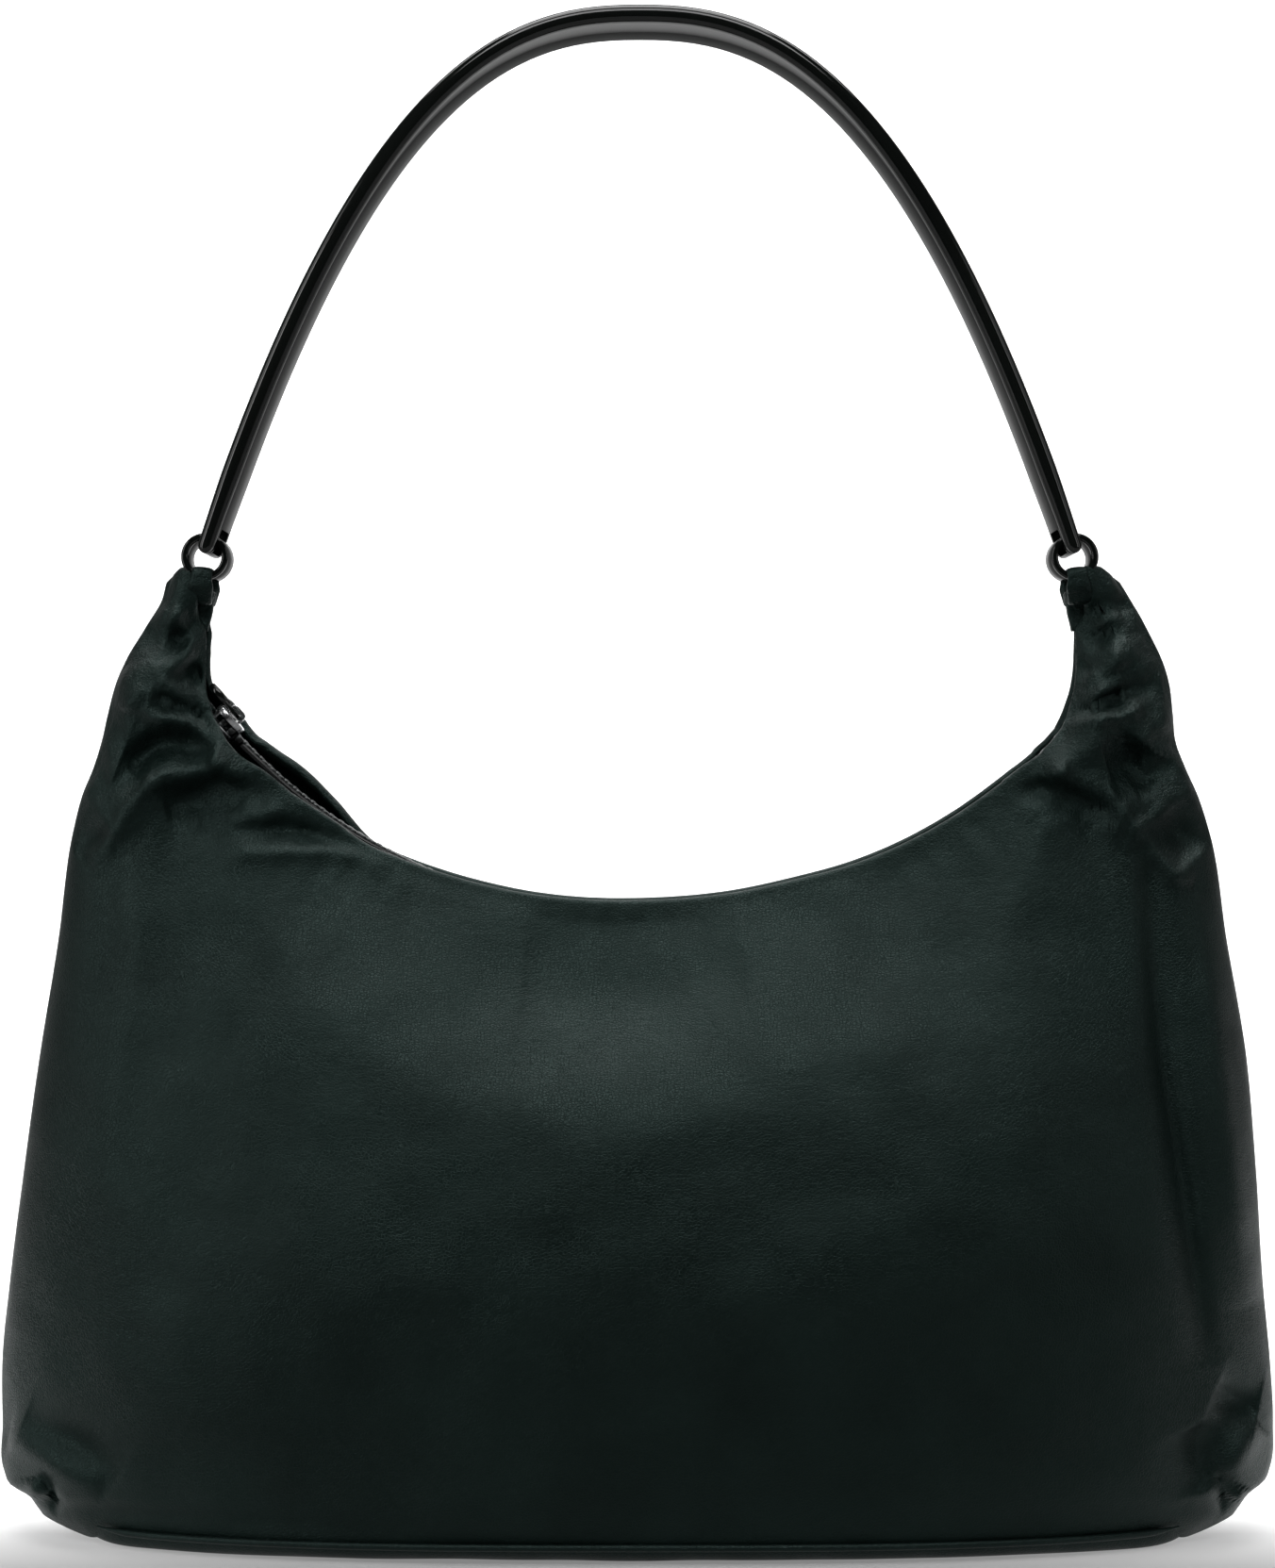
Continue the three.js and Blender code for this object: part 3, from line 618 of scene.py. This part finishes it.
LEATHER_MAT = leather(
    "leather_black", (0.0018, 0.0044, 0.0036), (0.0042, 0.0092, 0.0079), (0.37, 0.47), 0.00005)
TRIM_MAT = leather(
    "leather_trim_black", (0.0018, 0.004, 0.0034), (0.004, 0.008, 0.007), (0.34, 0.44), 0.00004)
FACING_MAT = leather(
    "leather_facing_black", (0.002, 0.0038, 0.0034), (0.005, 0.0072, 0.0066), (0.45, 0.6), 0.00004)
LACQUER_MAT = lacquer("lacquer_black")
METAL_MAT = metal("zip_metal_silver")
# The teeth get a darkened copy of the slider's silver: painted shade for the teeth that lie in the mouth's
# shadow.
SHADED_TEETH_MAT = metal("zip_teeth_shaded_silver", (0.085, 0.09, 0.09), (0.28, 0.46))
TAPE_MAT = woven("zip_tape_black", (0.004, 0.0045, 0.0045), (0.011, 0.012, 0.012), 0.0006, 0.00006)
LINING_MAT = woven("lining_cloth", (0.014, 0.014, 0.013), (0.03, 0.03, 0.028), 0.0008, 0.00008)
BOARD_MAT = woven("board_fibre", (0.11, 0.1, 0.085), (0.17, 0.155, 0.13), 0.002, 0.00004, 0.9)


def placed(obj, body, node):
    """Puts the finished piece on its body and hides the CAD node that it stands for."""
    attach(obj, body)
    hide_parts(node)


# ---------------------------------------------------------------- shell

COLUMNS, ROWS = ((340, 220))


def share_columns(count, limit=1.0):
    u = np.linspace(-1, 1, count + 1)
    return limit * np.sin(np.pi / 2 * u)


def build_panel(word, face):
    """One side of the shell: outside, rolled upper edge and inside in one skin."""
    f = share_columns(COLUMNS)
    t = np.linspace(0, 1, ROWS) ** 0.98
    outside = shell_point(*np.meshgrid(f, t), face)
    normal = normals_of(outside, face)
    inside = outside - normal * LEATHER
    inside[..., 1] = face * np.maximum(face * inside[..., 1], 0.02)
    top, up = outside[-1], outside[-1] - outside[-3]
    up /= np.maximum(np.linalg.norm(up, axis=-1, keepdims=True), 1e-9)
    roll_side = normal[-1]
    lips = []
    fuller = smooth(-top[:, 0], *FULL_LIP["starts"]) * (1 - smooth(-top[:, 0], *FULL_LIP["ends"]))
    fuller = FULL_LIP["extra"] * fuller * (face == BACK)
    thin = np.minimum(LIP + fuller, np.abs(top[:, 1]) * 0.95)[:, None]
    for angle in np.linspace(0, np.pi, 9)[1:-1]:
        inwards = roll_side * thin / 2 * (1 - math.cos(angle))
        lips.append(top - inwards + up * thin / 2 * math.sin(angle))
    inner_rows = inside[::-1][1::4]
    inner_rows[0] = inside[-2]
    rows = np.concatenate([outside, np.array(lips), inner_rows, inside[:1]])
    faces = grid_faces(len(rows), rows.shape[1], turn=face == BACK)
    obj = make_mesh("shell_" + word, rows, faces, LEATHER_MAT)
    placed(obj, "bag", word + "_panel")


def build_base():
    """Leather base with upturned ends."""
    f = share_columns(COLUMNS // 2)
    v = np.sin(np.linspace(-np.pi / 2, np.pi / 2, 61))
    grid_f, grid_v = np.meshgrid(f, v)

    def surface(inset):
        q = share(np.abs(grid_v), 0.8, 1)
        rim = 1 - np.sqrt(1 - q * q)
        edge = np.maximum(base_depth(grid_f) - inset, 0.2) + 0.25
        z = seam_z(grid_f) - BASE["height"] * (1 - rim) + inset * (1 - q * q)
        wide = half_width(grid_f, seam_z(grid_f))
        tucked = half_width(grid_f, panel_low(grid_f)) - 0.6
        x = grid_f * (wide + (tucked - wide) * smooth(np.abs(grid_f), 0.85, 0.95) - inset)
        return np.stack([x, grid_v * edge * (1 - 0.12 * smooth(np.abs(grid_f), 0.85, 0.93)), z], -1)

    outside, inside = surface(0.0), surface(1.5)
    outside[..., 2] += 0.12 * waves(outside[..., 0], outside[..., 1], 5, 30) * (1 - np.abs(grid_f) ** 6)
    outside[..., 2] = np.maximum(outside[..., 2], 0.02)
    rows = np.concatenate([outside, inside[::-1], outside[:1]])
    obj = make_mesh("base", rows, grid_faces(len(rows), rows.shape[1], turn=True), LEATHER_MAT)
    placed(obj, "bag", "base_panel")


def build_welt(word, face):
    """Cord-filled welt along the base seam."""
    f = share_columns(120, WELT["limit"])
    y = face * (base_depth(f) + WELT["out"])
    path = np.stack([f * half_width(f, seam_z(f)), y, seam_z(f) - WELT["down"]], -1)
    along = np.gradient(path, axis=0)
    along /= np.linalg.norm(along, axis=1, keepdims=True)
    side = np.cross(along, (0, 0, 1))
    side /= np.linalg.norm(side, axis=1, keepdims=True)
    up = np.cross(side, along)
    ring = circle(WELT["radius"])
    slim = 0.3 + 0.7 * smooth(WELT["limit"] - np.abs(f), 0, 0.05)
    sections = [[(a * s, b * s) for a, b in ring] for s in slim]
    parts = Parts()
    parts.tube(sweep(path, zip(side, up), sections), turn=True)
    obj = parts.mesh("welt_" + word, TRIM_MAT)
    placed(obj, "bag", "base_welt_" + word)


# ---------------------------------------------------------------- inside layers


def inner_layer(name, face, finish, node, size, low, high, rows):
    """A layer inside a panel, between two heights that follow the share of the half width."""
    f = share_columns(120, size["limit"])
    bottom, rim = panel_low(f), rim_z(f, face)
    t_low, t_high = (low(f) - bottom) / (rim - bottom), (high(f) - bottom) / (rim - bottom)
    t = t_low + (t_high - t_low) * np.linspace(0, 1, rows)[:, None]
    base_points = shell_point(np.broadcast_to(f, t.shape), t, face)
    normal = normals_of(base_points, face)
    inset = LEATHER + size["gap"]
    near = base_points - normal * inset
    far = base_points - normal * (inset + size["thickness"])
    near[..., 1] = face * np.maximum(face * near[..., 1], 0.5)
    far[..., 1] = face * np.maximum(face * far[..., 1], 0.3)
    wrinkle = 0.25 * waves(near[..., 0], near[..., 2], 31 + face, 14)
    far[..., 1] -= face * np.abs(wrinkle)
    far[..., 1] = face * np.maximum(face * far[..., 1], 0.3)
    loop = np.concatenate([near, far[::-1], near[:1]])
    obj = make_mesh(name, loop, grid_faces(len(loop), loop.shape[1], turn=face == BACK), finish)
    placed(obj, "bag", node)


def lining_low(f):
    return seam_z(f) + LINING["above_seam"]


def lining_high(f):
    return np.minimum(rim_z(f, FRONT) - LINING["below_rim"], LINING["top_z"])


def chain_z(f):
    x = f * half_width(f, rim_z(f, FRONT)) - CHAIN["x"]
    return CHAIN["z"] - np.sqrt(CHAIN["radius"] ** 2 - x**2)


def facing_low(f):
    return rim_z(f, FRONT) - FACING["height"]


def facing_high(f):
    return np.minimum(rim_z(f, FRONT) - FACING["below_rim"], chain_z(f) - FACING["below_chain"])


def build_inner_layers(word, face):
    inner_layer("inner_cloth_" + word, face, LINING_MAT, "lining_" + word, LINING,
                lining_low, lining_high, 30)
    inner_layer("inner_facing_" + word, face, FACING_MAT, "facing_" + word, FACING,
                facing_low, facing_high, 8)


def bottom_layer(name, node, finish, size, wrinkled):
    """A flat layer that lies on the base inside the bag."""
    grid_f, grid_v = np.meshgrid(share_columns(60, 0.76), np.linspace(-0.8, 0.8, 30))
    layers = []
    for inset in (size["low"], size["high"]):
        edge = np.maximum(base_depth(grid_f) - inset, 0.2)
        z = np.full_like(grid_f, inset) + seam_z(grid_f) - BASE["height"]
        layers.append(np.stack([grid_f * (half_width(grid_f, 5.0) - inset), grid_v * edge, z], -1))
    if wrinkled:
        layers[1][..., 2] += 0.2 * np.abs(waves(layers[1][..., 0], layers[1][..., 1], 8, 18))
    loop = np.concatenate([layers[0], layers[1][::-1], layers[0][:1]])
    obj = make_mesh(name, loop, grid_faces(len(loop), loop.shape[1], turn=True), finish)
    placed(obj, "bag", node)


def build_bottom_layers():
    bottom_layer("stiffener", "base_board", BOARD_MAT, BOARD, False)
    bottom_layer("inner_cloth_base", "lining_base", LINING_MAT, BASE_CLOTH, True)


# ---------------------------------------------------------------- zip


def on_arc(points, degrees):
    """Moves points drawn at the lowest point of the chain's arc, chain at z = 0, to their angle."""
    p = np.asarray(points, float).reshape(-1, 3).copy()
    angle = math.radians(degrees)
    height = p[:, 2] - CHAIN["radius"]
    x = p[:, 0] * math.cos(angle) - height * math.sin(angle)
    z = p[:, 0] * math.sin(angle) + height * math.cos(angle)
    return np.stack([x + CHAIN["x"], p[:, 1], z + CHAIN["z"]], -1)


def arc_band(parts, section, start, end, steps=90, uneven=0.0):
    """A closed section (y, height about the chain) swept along the chain's arc."""
    rings = []
    for k, degrees in enumerate(np.linspace(start, end, steps)):
        sag = uneven * math.sin(k * 0.55) * math.sin(k * 0.21 + 1)
        rings.append(on_arc([(0, y, z + sag) for y, z in section], degrees))
    parts.tube(rings, turn=True)


def build_tape(word, face):
    parts = Parts()
    outer, inner, half = TAPE["outer"], TAPE["inner"], TAPE["half"]
    corners = ((outer, -half), (inner, -half), (inner - 0.2, 0), (inner, half), (outer, half))
    section = [(face * y, z) for y, z in corners]
    if face == BACK:
        section = section[::-1]
    arc_band(parts, section, TAPE["from"], TAPE["to"], uneven=0.12)
    obj = parts.mesh("tape_" + word, TAPE_MAT, 40)
    placed(obj, "bag", "zip_tape_" + word)


def tooth(face):
    """One tooth: clamped on the tape's edge, with a narrow neck and a rounded head."""
    parts = Parts()
    root, reach, half, h = TOOTH["root"], TOOTH["reach"], TOOTH["length"] / 2, TOOTH["height"]
    # Each block: share of the length, half width, share of the height, rounding, middle.
    clamp = (1, 0.9, 1, 0.3, root - 0.9)
    neck = (0.62, 0.8, 0.8, 0.25, 0.85)
    head = (0.85, 0.55, 0.9, 0.3, 0.55 - reach)
    for long, wide, tall, edge, middle in (clamp, neck, head):
        corner = np.array([half * long, wide, h * tall])
        parts.add(*rounded_box(-corner, corner, edge, 2))
        parts.points[-1][:, 1] += face * middle
    return np.concatenate(parts.points), parts.faces


def build_teeth(word, face):
    shape, faces = tooth(face)
    step = math.degrees(TOOTH["pitch"] / CHAIN["radius"])
    count = int((CHAIN["to"] - CHAIN["from"]) / step)
    parts = Parts()
    shift = 0 if face == FRONT else 0.5
    for k in range(count):
        parts.add(on_arc(shape, CHAIN["from"] + (k + shift + 0.25) * step), faces)
    obj = parts.mesh("teeth_" + word, SHADED_TEETH_MAT, 35)
    placed(obj, "bag", "zip_teeth_" + word)


def on_arc_piece(name, pieces, degrees, finish, body, node, sharp=40):
    parts = Parts()
    for points, faces in pieces:
        parts.add(on_arc(points, degrees), faces)
    placed(parts.mesh(name, finish, sharp), body, node)


def build_zip_ends():
    corner = np.array([STOP["half_length"], STOP["half_width"], STOP["half"]])
    stop = [rounded_box(-corner, corner, 0.25)]
    on_arc_piece("zip_stop", stop, STOP["angle"], METAL_MAT, "bag", "zip_stop_right")
    corner = np.array([TAB["half_length"], TAB["half_width"], TAB["half"]])
    for word, degrees in TAB["angles"].items():
        tab = [rounded_box(-corner, corner, 0.3)]
        on_arc_piece("zip_tab_" + word, tab, degrees, TRIM_MAT, "bag", "zip_end_tab_" + word)


def slider_plate(low, high, dome):
    """A slider's plate in plan: broad and round at the nose, narrow at the tail; its outer side is domed."""
    outline = []
    for a in np.linspace(0, 2 * np.pi, 36, endpoint=False):
        x = PLATE["half_length"] * math.cos(a)
        wide = PLATE["half_width"] - PLATE["taper"] * float(smooth(x, -1.5, PLATE["half_length"]))
        outline.append((x, wide * math.copysign(abs(math.sin(a)) ** 0.6, math.sin(a))))
    outline = np.array(outline)
    rings = []
    for scale, z in ((0.96, low), (1.0, low + 0.15), (1.0, high - 0.35), (0.97, high - 0.1), (0.9, high),
                     (0.5, high + dome), (0.1, high + dome * 1.2)):
        rings.append([(x * scale, y * scale, z) for x, y in outline])
    return rings


def build_slider():
    top = slider_plate(PLATE["inner"], PLATE["top"], 0.15)
    bottom = slider_plate(PLATE["inner"], PLATE["bottom"], 0.1)
    bottom = [[(x, y, -z) for x, y, z in ring] for ring in bottom]
    pieces = [loft(top), loft(bottom, turn=True)]
    wide, tall = POST["half_width"], POST["half"]
    pieces.append(rounded_box((POST["from"], -wide, -tall), (POST["to"], wide, tall), POST["edge"]))
    bridge = [(-x, z) for x, z in BRIDGE[::-1]] + BRIDGE
    rings = []
    for k, (x, z) in enumerate(bridge):
        before, after = bridge[max(k - 1, 0)], bridge[min(k + 1, len(bridge) - 1)]
        direction = np.array([after[0] - before[0], 0, after[1] - before[1]], float)
        direction /= np.linalg.norm(direction)
        across = np.array([-direction[2], 0, direction[0]])
        rings.append([np.array([x, 0, z]) + a * across + b * np.array([0, 1, 0])
                      for a, b in rounded_rectangle(0.3, 0.7, 0.2, 3)])
    pieces.append(loft(rings))
    on_arc_piece("slider_body", pieces, SLIDER_ANGLE, METAL_MAT, "slider", "zip_slider")


def build_pull():
    """Black oval blade with a raised rim, on two arms round a cross pin; it lies towards the horn."""
    along, up = PIN["along"], PIN["up"]
    centre, half_l, half_w = along - PULL["reach"], PULL["half_length"], PULL["half_width"]
    profile = [(0.15, -0.55), (0.8, -0.6), (0.95, -0.45), (1.0, -0.1), (1.0, 0.3), (0.96, 0.68), (0.88, 0.85),
               (0.78, 0.72), (0.4, 0.82), (0.15, 0.86)]
    turns = np.linspace(0, 2 * np.pi, 40, endpoint=False)
    rings = [[(centre + half_l * scale * math.cos(a), half_w * scale * math.sin(a), up + z) for a in turns]
             for scale, z in profile]
    parts = [loft(rings)]
    for side in (-1, 1):
        y, wide, tall = side * ARM["y"], ARM["half_width"], ARM["half"]
        low, high = (along - ARM["back"], y - wide, up - tall), (along + ARM["ahead"], y + wide, up + tall)
        parts.append(rounded_box(low, high, 0.2))
    ends = (-PIN["outer_end"], -PIN["inner_end"], PIN["inner_end"], PIN["outer_end"])
    pin = [[(along + a, y, up + b) for a, b in circle(PIN["radius"], 14)] for y in ends]
    parts.append(loft(pin, turn=True))
    on_arc_piece("pull_tab", parts, SLIDER_ANGLE, LACQUER_MAT, "pull", "zip_pull")


# ---------------------------------------------------------------- handle, rings, loops


def handle_point(x):
    out = abs(x) / HANDLE["half_span"]
    return np.array([x, 0, HANDLE["top_z"] - HANDLE["rise"] * out ** HANDLE["power"]])


END_SLOPE = -HANDLE["rise"] * HANDLE["power"] / HANDLE["half_span"]


def handle_frames():
    """Stations along the band from one end to the other: centre, normal, half thickness, half depth."""
    end = HANDLE_END["x"] - 0.6
    along = end * np.sin(np.linspace(-np.pi / 2, np.pi / 2, 121))
    along = np.sign(along) * end * (np.abs(along) / end) ** 0.9
    stations = []
    for x in along:
        slope = END_SLOPE * (abs(x) / HANDLE["half_span"]) ** (HANDLE["power"] - 1) * np.sign(x)
        normal = np.array([-slope, 0, 1]) / math.hypot(slope, 1)
        thinner = (HANDLE_END["radius"] - HANDLE["half_thickness"]) * float(smooth(abs(x), end - 6, end))
        half = HANDLE["half_thickness"] + thinner
        stations.append((handle_point(x), normal, half, HANDLE["half_depth"]))
    radius = HANDLE_END["radius"]
    for first in (True, False):
        centre, normal, half, depth = stations[0] if first else stations[-1]
        away = np.array([-normal[2], 0, normal[0]]) if first else np.array([normal[2], 0, -normal[0]])
        extra = []
        for angle in np.radians([20, 40, 58, 74, 84]):
            reach = radius * math.sin(angle)
            thin = math.cos(angle)
            extra.append((centre + away * reach, normal, radius * thin, depth - 0.6 * (1 - thin)))
        stations = extra[::-1] + stations if first else stations + extra
    return stations


def handle_cutter(side):
    """The block that cuts the ring's slot through the band's end, leaning with the band."""
    wide, deep = SLOT["half_width"], SLOT["half_depth"]
    points, faces = rounded_box((-wide, -deep, SLOT["from"]), (wide, deep, SLOT["to"]), SLOT["edge"], 4)
    turn = np.array(Matrix.Rotation(-side * math.atan(-1 / END_SLOPE), 3, "Y"))
    points = points @ turn.T + np.array([side * HANDLE_END["x"], 0, HANDLE_END["z"]])
    return make_mesh("cutter", points, faces, LACQUER_MAT)


def build_handle():
    rings = []
    for centre, normal, half, depth in handle_frames():
        radius = min(1.8, half * 0.9)
        flat = rounded_rectangle(half, depth, radius, 6)
        rings.append([centre + a * normal + b * np.array([0, 1, 0]) for a, b in flat])
    parts = Parts()
    parts.tube(rings, turn=True)
    obj = parts.mesh("handle_arch", LACQUER_MAT)
    cutters = [handle_cutter(side) for side in (LEFT, RIGHT)]
    for cutter in cutters:
        cut = obj.modifiers.new("slot", "BOOLEAN")
        cut.object, cut.operation, cut.solver = cutter, "DIFFERENCE", "EXACT"
    bpy.context.view_layer.update()
    graph = bpy.context.evaluated_depsgraph_get()
    finished = bpy.data.meshes.new_from_object(obj.evaluated_get(graph))
    obj.modifiers.clear()
    obj.data = finished
    obj.data.set_sharp_from_angle(angle=math.radians(38))
    for cutter in cutters:
        bpy.data.objects.remove(cutter)
    placed(obj, "handle", "handle")


def build_ring(word, side):
    half, edge = RING["half_depth"], RING["edge"]
    mid, reach = (RING["outer"] + RING["inner"]) / 2, (RING["outer"] - RING["inner"]) / 2
    flat = rounded_rectangle(reach, half, edge, 4)
    rings = []
    for angle in np.linspace(0, 2 * np.pi, 73):
        out = np.array([math.cos(angle), 0, math.sin(angle)])
        centre = np.array([side * RING["x"], 0, RING["z"]]) + mid * out
        rings.append([centre + a * out + b * np.array([0, 1, 0]) for a, b in flat])
    parts = Parts()
    parts.tube(rings, capped=False, turn=True)
    obj = parts.mesh("ring_band_" + word, LACQUER_MAT)
    placed(obj, word + "_ring", "ring_" + word)


def build_loop(word, side):
    """Leather strap folded through the ring; its two plies meet inside the horn's tip."""
    centre = np.array([side * RING["x"], 0, RING["z"]])
    foot = np.array([side * LOOP["foot_x"], 0, LOOP["foot_z"]])
    down = (foot - centre) / np.linalg.norm(foot - centre)
    across = np.array([-down[2], 0, down[0]])
    length = np.linalg.norm(foot - centre)
    inner, outer, y = RING["inner"] - 0.75, RING["outer"] + 0.6, LOOP["radius"]
    # One ply from the foot to the ring's inside: distance from the ring's centre, distance to the side.
    half = [(length, 0.62), (length - 5, 0.7), (length - 8.5, 1.2), (outer + 4.2, 3.6), (outer + 2.0, 5.6),
            (outer + 0.4, y - 0.15), (outer - 1.0, y), (inner + 0.7, y), (inner + 0.25, y - 0.2),
            (inner, y - 0.7), (inner, y - 2), (inner, 2)]
    route = np.array([(s, -aside) for s, aside in half] + [(s, aside) for s, aside in half[::-1]])
    steps = np.r_[0, np.cumsum(np.hypot(*np.diff(route, axis=0).T))]
    fine = np.linspace(0, steps[-1], 90)
    route = np.stack([curve_through(list(zip(steps, route[:, k])))(fine) for k in (0, 1)], -1)
    tangent = np.gradient(route, axis=0)
    tangent /= np.linalg.norm(tangent, axis=1, keepdims=True)
    rings = []
    for (s, aside), (ds, dy) in zip(route, tangent):
        narrower = float(smooth(outer + 1 - s, 0, 2.2)) + float(smooth(s, length - 5, length))
        wide = LOOP["half_width"] - 0.5 * narrower
        normal = down * (-dy) + np.array([0, ds, 0])
        point = centre + down * s + np.array([0, aside, 0])
        shift = side * 0.35 * across * float(smooth(s, outer, outer + 5))
        flat = [(wide * math.cos(a), LOOP["half_ply"] * math.copysign(abs(math.sin(a)) ** 0.7, math.sin(a)))
                for a in np.linspace(0, 2 * np.pi, 24, endpoint=False)]
        rings.append([point + shift + a * across + b * normal for a, b in flat])
    parts = Parts()
    parts.tube(rings, turn=True)
    obj = parts.mesh("loop_strap_" + word, TRIM_MAT)
    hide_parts("loop_" + word)
    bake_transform(obj)


# ---------------------------------------------------------------- stage, in metres

SWEEP = {"front": -0.9, "bend": 0.7, "radius": 0.9, "height": 3.0, "half_width": 3.2}
CAMERA = {"place": (-0.0005, -0.8, 0.1656), "lens": 83.1, "sensor": 36}
# Each light: place, target, size, power.
LIGHTS = {
    "key": ((0, -0.78, 0.95), (0, 0, 0.1), (0.75, 0.3), 4.0),
    "overhead": ((0, -0.1, 1.2), (0, 0, 0.1), (0.8, 0.6), 6.4),
    "left_strip": ((-0.72, -0.62, 0.36), (0, 0, 0.16), (0.14, 0.7), 1.9),
    "right_strip": ((0.72, -0.62, 0.4), (0, 0, 0.2), (0.08, 0.5), 0.5),
    "left_side": ((-1.1, -0.35, 0.55), (0, 0, 0.14), (0.4, 0.9), 1.9),
    "right_side": ((1.1, -0.3, 0.5), (0, 0, 0.14), (0.3, 0.8), 0.8),
    "backdrop": ((0, 0.5, 1.9), (0, 1.4, 0.2), (2.6, 0.6), 30),
}
WORLD_STRENGTH = 0.012


def build_stage():
    """White sweep of floor and wall, which glows only where the camera sees it."""
    mat, nodes, links, shader, where = material("stage_white", (0.8, 0.8, 0.8), 0.9)
    shader.inputs["Emission Color"].default_value = (1, 1, 1, 1)
    split = nodes.new("ShaderNodeSeparateXYZ")
    links.new(where, split.inputs[0])
    behind = remap(nodes, links, split.outputs["Y"], -0.06, 0.05, 0.0, 1.0)
    aside = maths(nodes, links, "ABSOLUTE", split.outputs["X"])
    beyond = maths(nodes, links, "MULTIPLY_ADD", split.outputs["Y"], -0.217, aside)
    lit = maths(nodes, links, "MULTIPLY", behind, remap(nodes, links, beyond, 0.18, 0.5, 1.0, 0.12))
    links.new(maths(nodes, links, "MULTIPLY", lit, 0.75), shader.inputs["Emission Strength"])
    grey, white = (0.22, 0.22, 0.22), (0.8, 0.8, 0.8)
    links.new(mixed_colour(nodes, links, lit, grey, white), shader.inputs["Base Color"])
    bend, radius, wide = SWEEP["bend"], SWEEP["radius"], SWEEP["half_width"]
    profile = [(SWEEP["front"], 0), (bend, 0)]
    for a in np.linspace(0, np.pi / 2, 16):
        profile.append((bend + radius * math.sin(a), radius * (1 - math.cos(a))))
    profile.append((bend + radius, SWEEP["height"]))
    rows = np.array([[(x, y, z) for x in (-wide, wide)] for y, z in profile]) / MM
    sweep_object = make_mesh("stage_sweep", rows, grid_faces(len(rows), 2), mat)


def build_lights():
    for name, (place, target, size, power) in LIGHTS.items():
        data = bpy.data.lights.new(name, "AREA")
        data.shape, data.energy = "RECTANGLE", power
        data.size, data.size_y = size
        obj = bpy.data.objects.new(name, data)
        obj.location = place
        obj.rotation_euler = (Vector(target) - Vector(place)).to_track_quat("-Z", "Y").to_euler()
        bpy.context.scene.collection.objects.link(obj)
    world = bpy.data.worlds.new("studio")
    world.use_nodes = True
    world.node_tree.nodes["Background"].inputs["Color"].default_value = (1, 1, 1, 1)
    world.node_tree.nodes["Background"].inputs["Strength"].default_value = WORLD_STRENGTH
    bpy.context.scene.world = world


def build_camera():
    data = bpy.data.cameras.new("view")
    data.lens, data.sensor_width = CAMERA["lens"], CAMERA["sensor"]
    camera = bpy.data.objects.new("view", data)
    camera.location = CAMERA["place"]
    camera.rotation_euler = (math.radians(90), 0, 0)
    bpy.context.scene.collection.objects.link(camera)
    bpy.context.scene.camera = camera


for face_word, face_side in FACES.items():
    build_panel(face_word, face_side)
    build_welt(face_word, face_side)
    build_tape(face_word, face_side)
    build_teeth(face_word, face_side)
for side_word, side_sign in SIDES.items():
    build_ring(side_word, side_sign)
    build_loop(side_word, side_sign)
build_base()
for face_word, face_side in FACES.items():
    build_inner_layers(face_word, face_side)
build_bottom_layers()
build_zip_ends()
build_slider()
build_pull()
build_handle()
build_stage()
build_lights()
build_camera()
bpy.context.scene.view_settings.view_transform = "Standard"
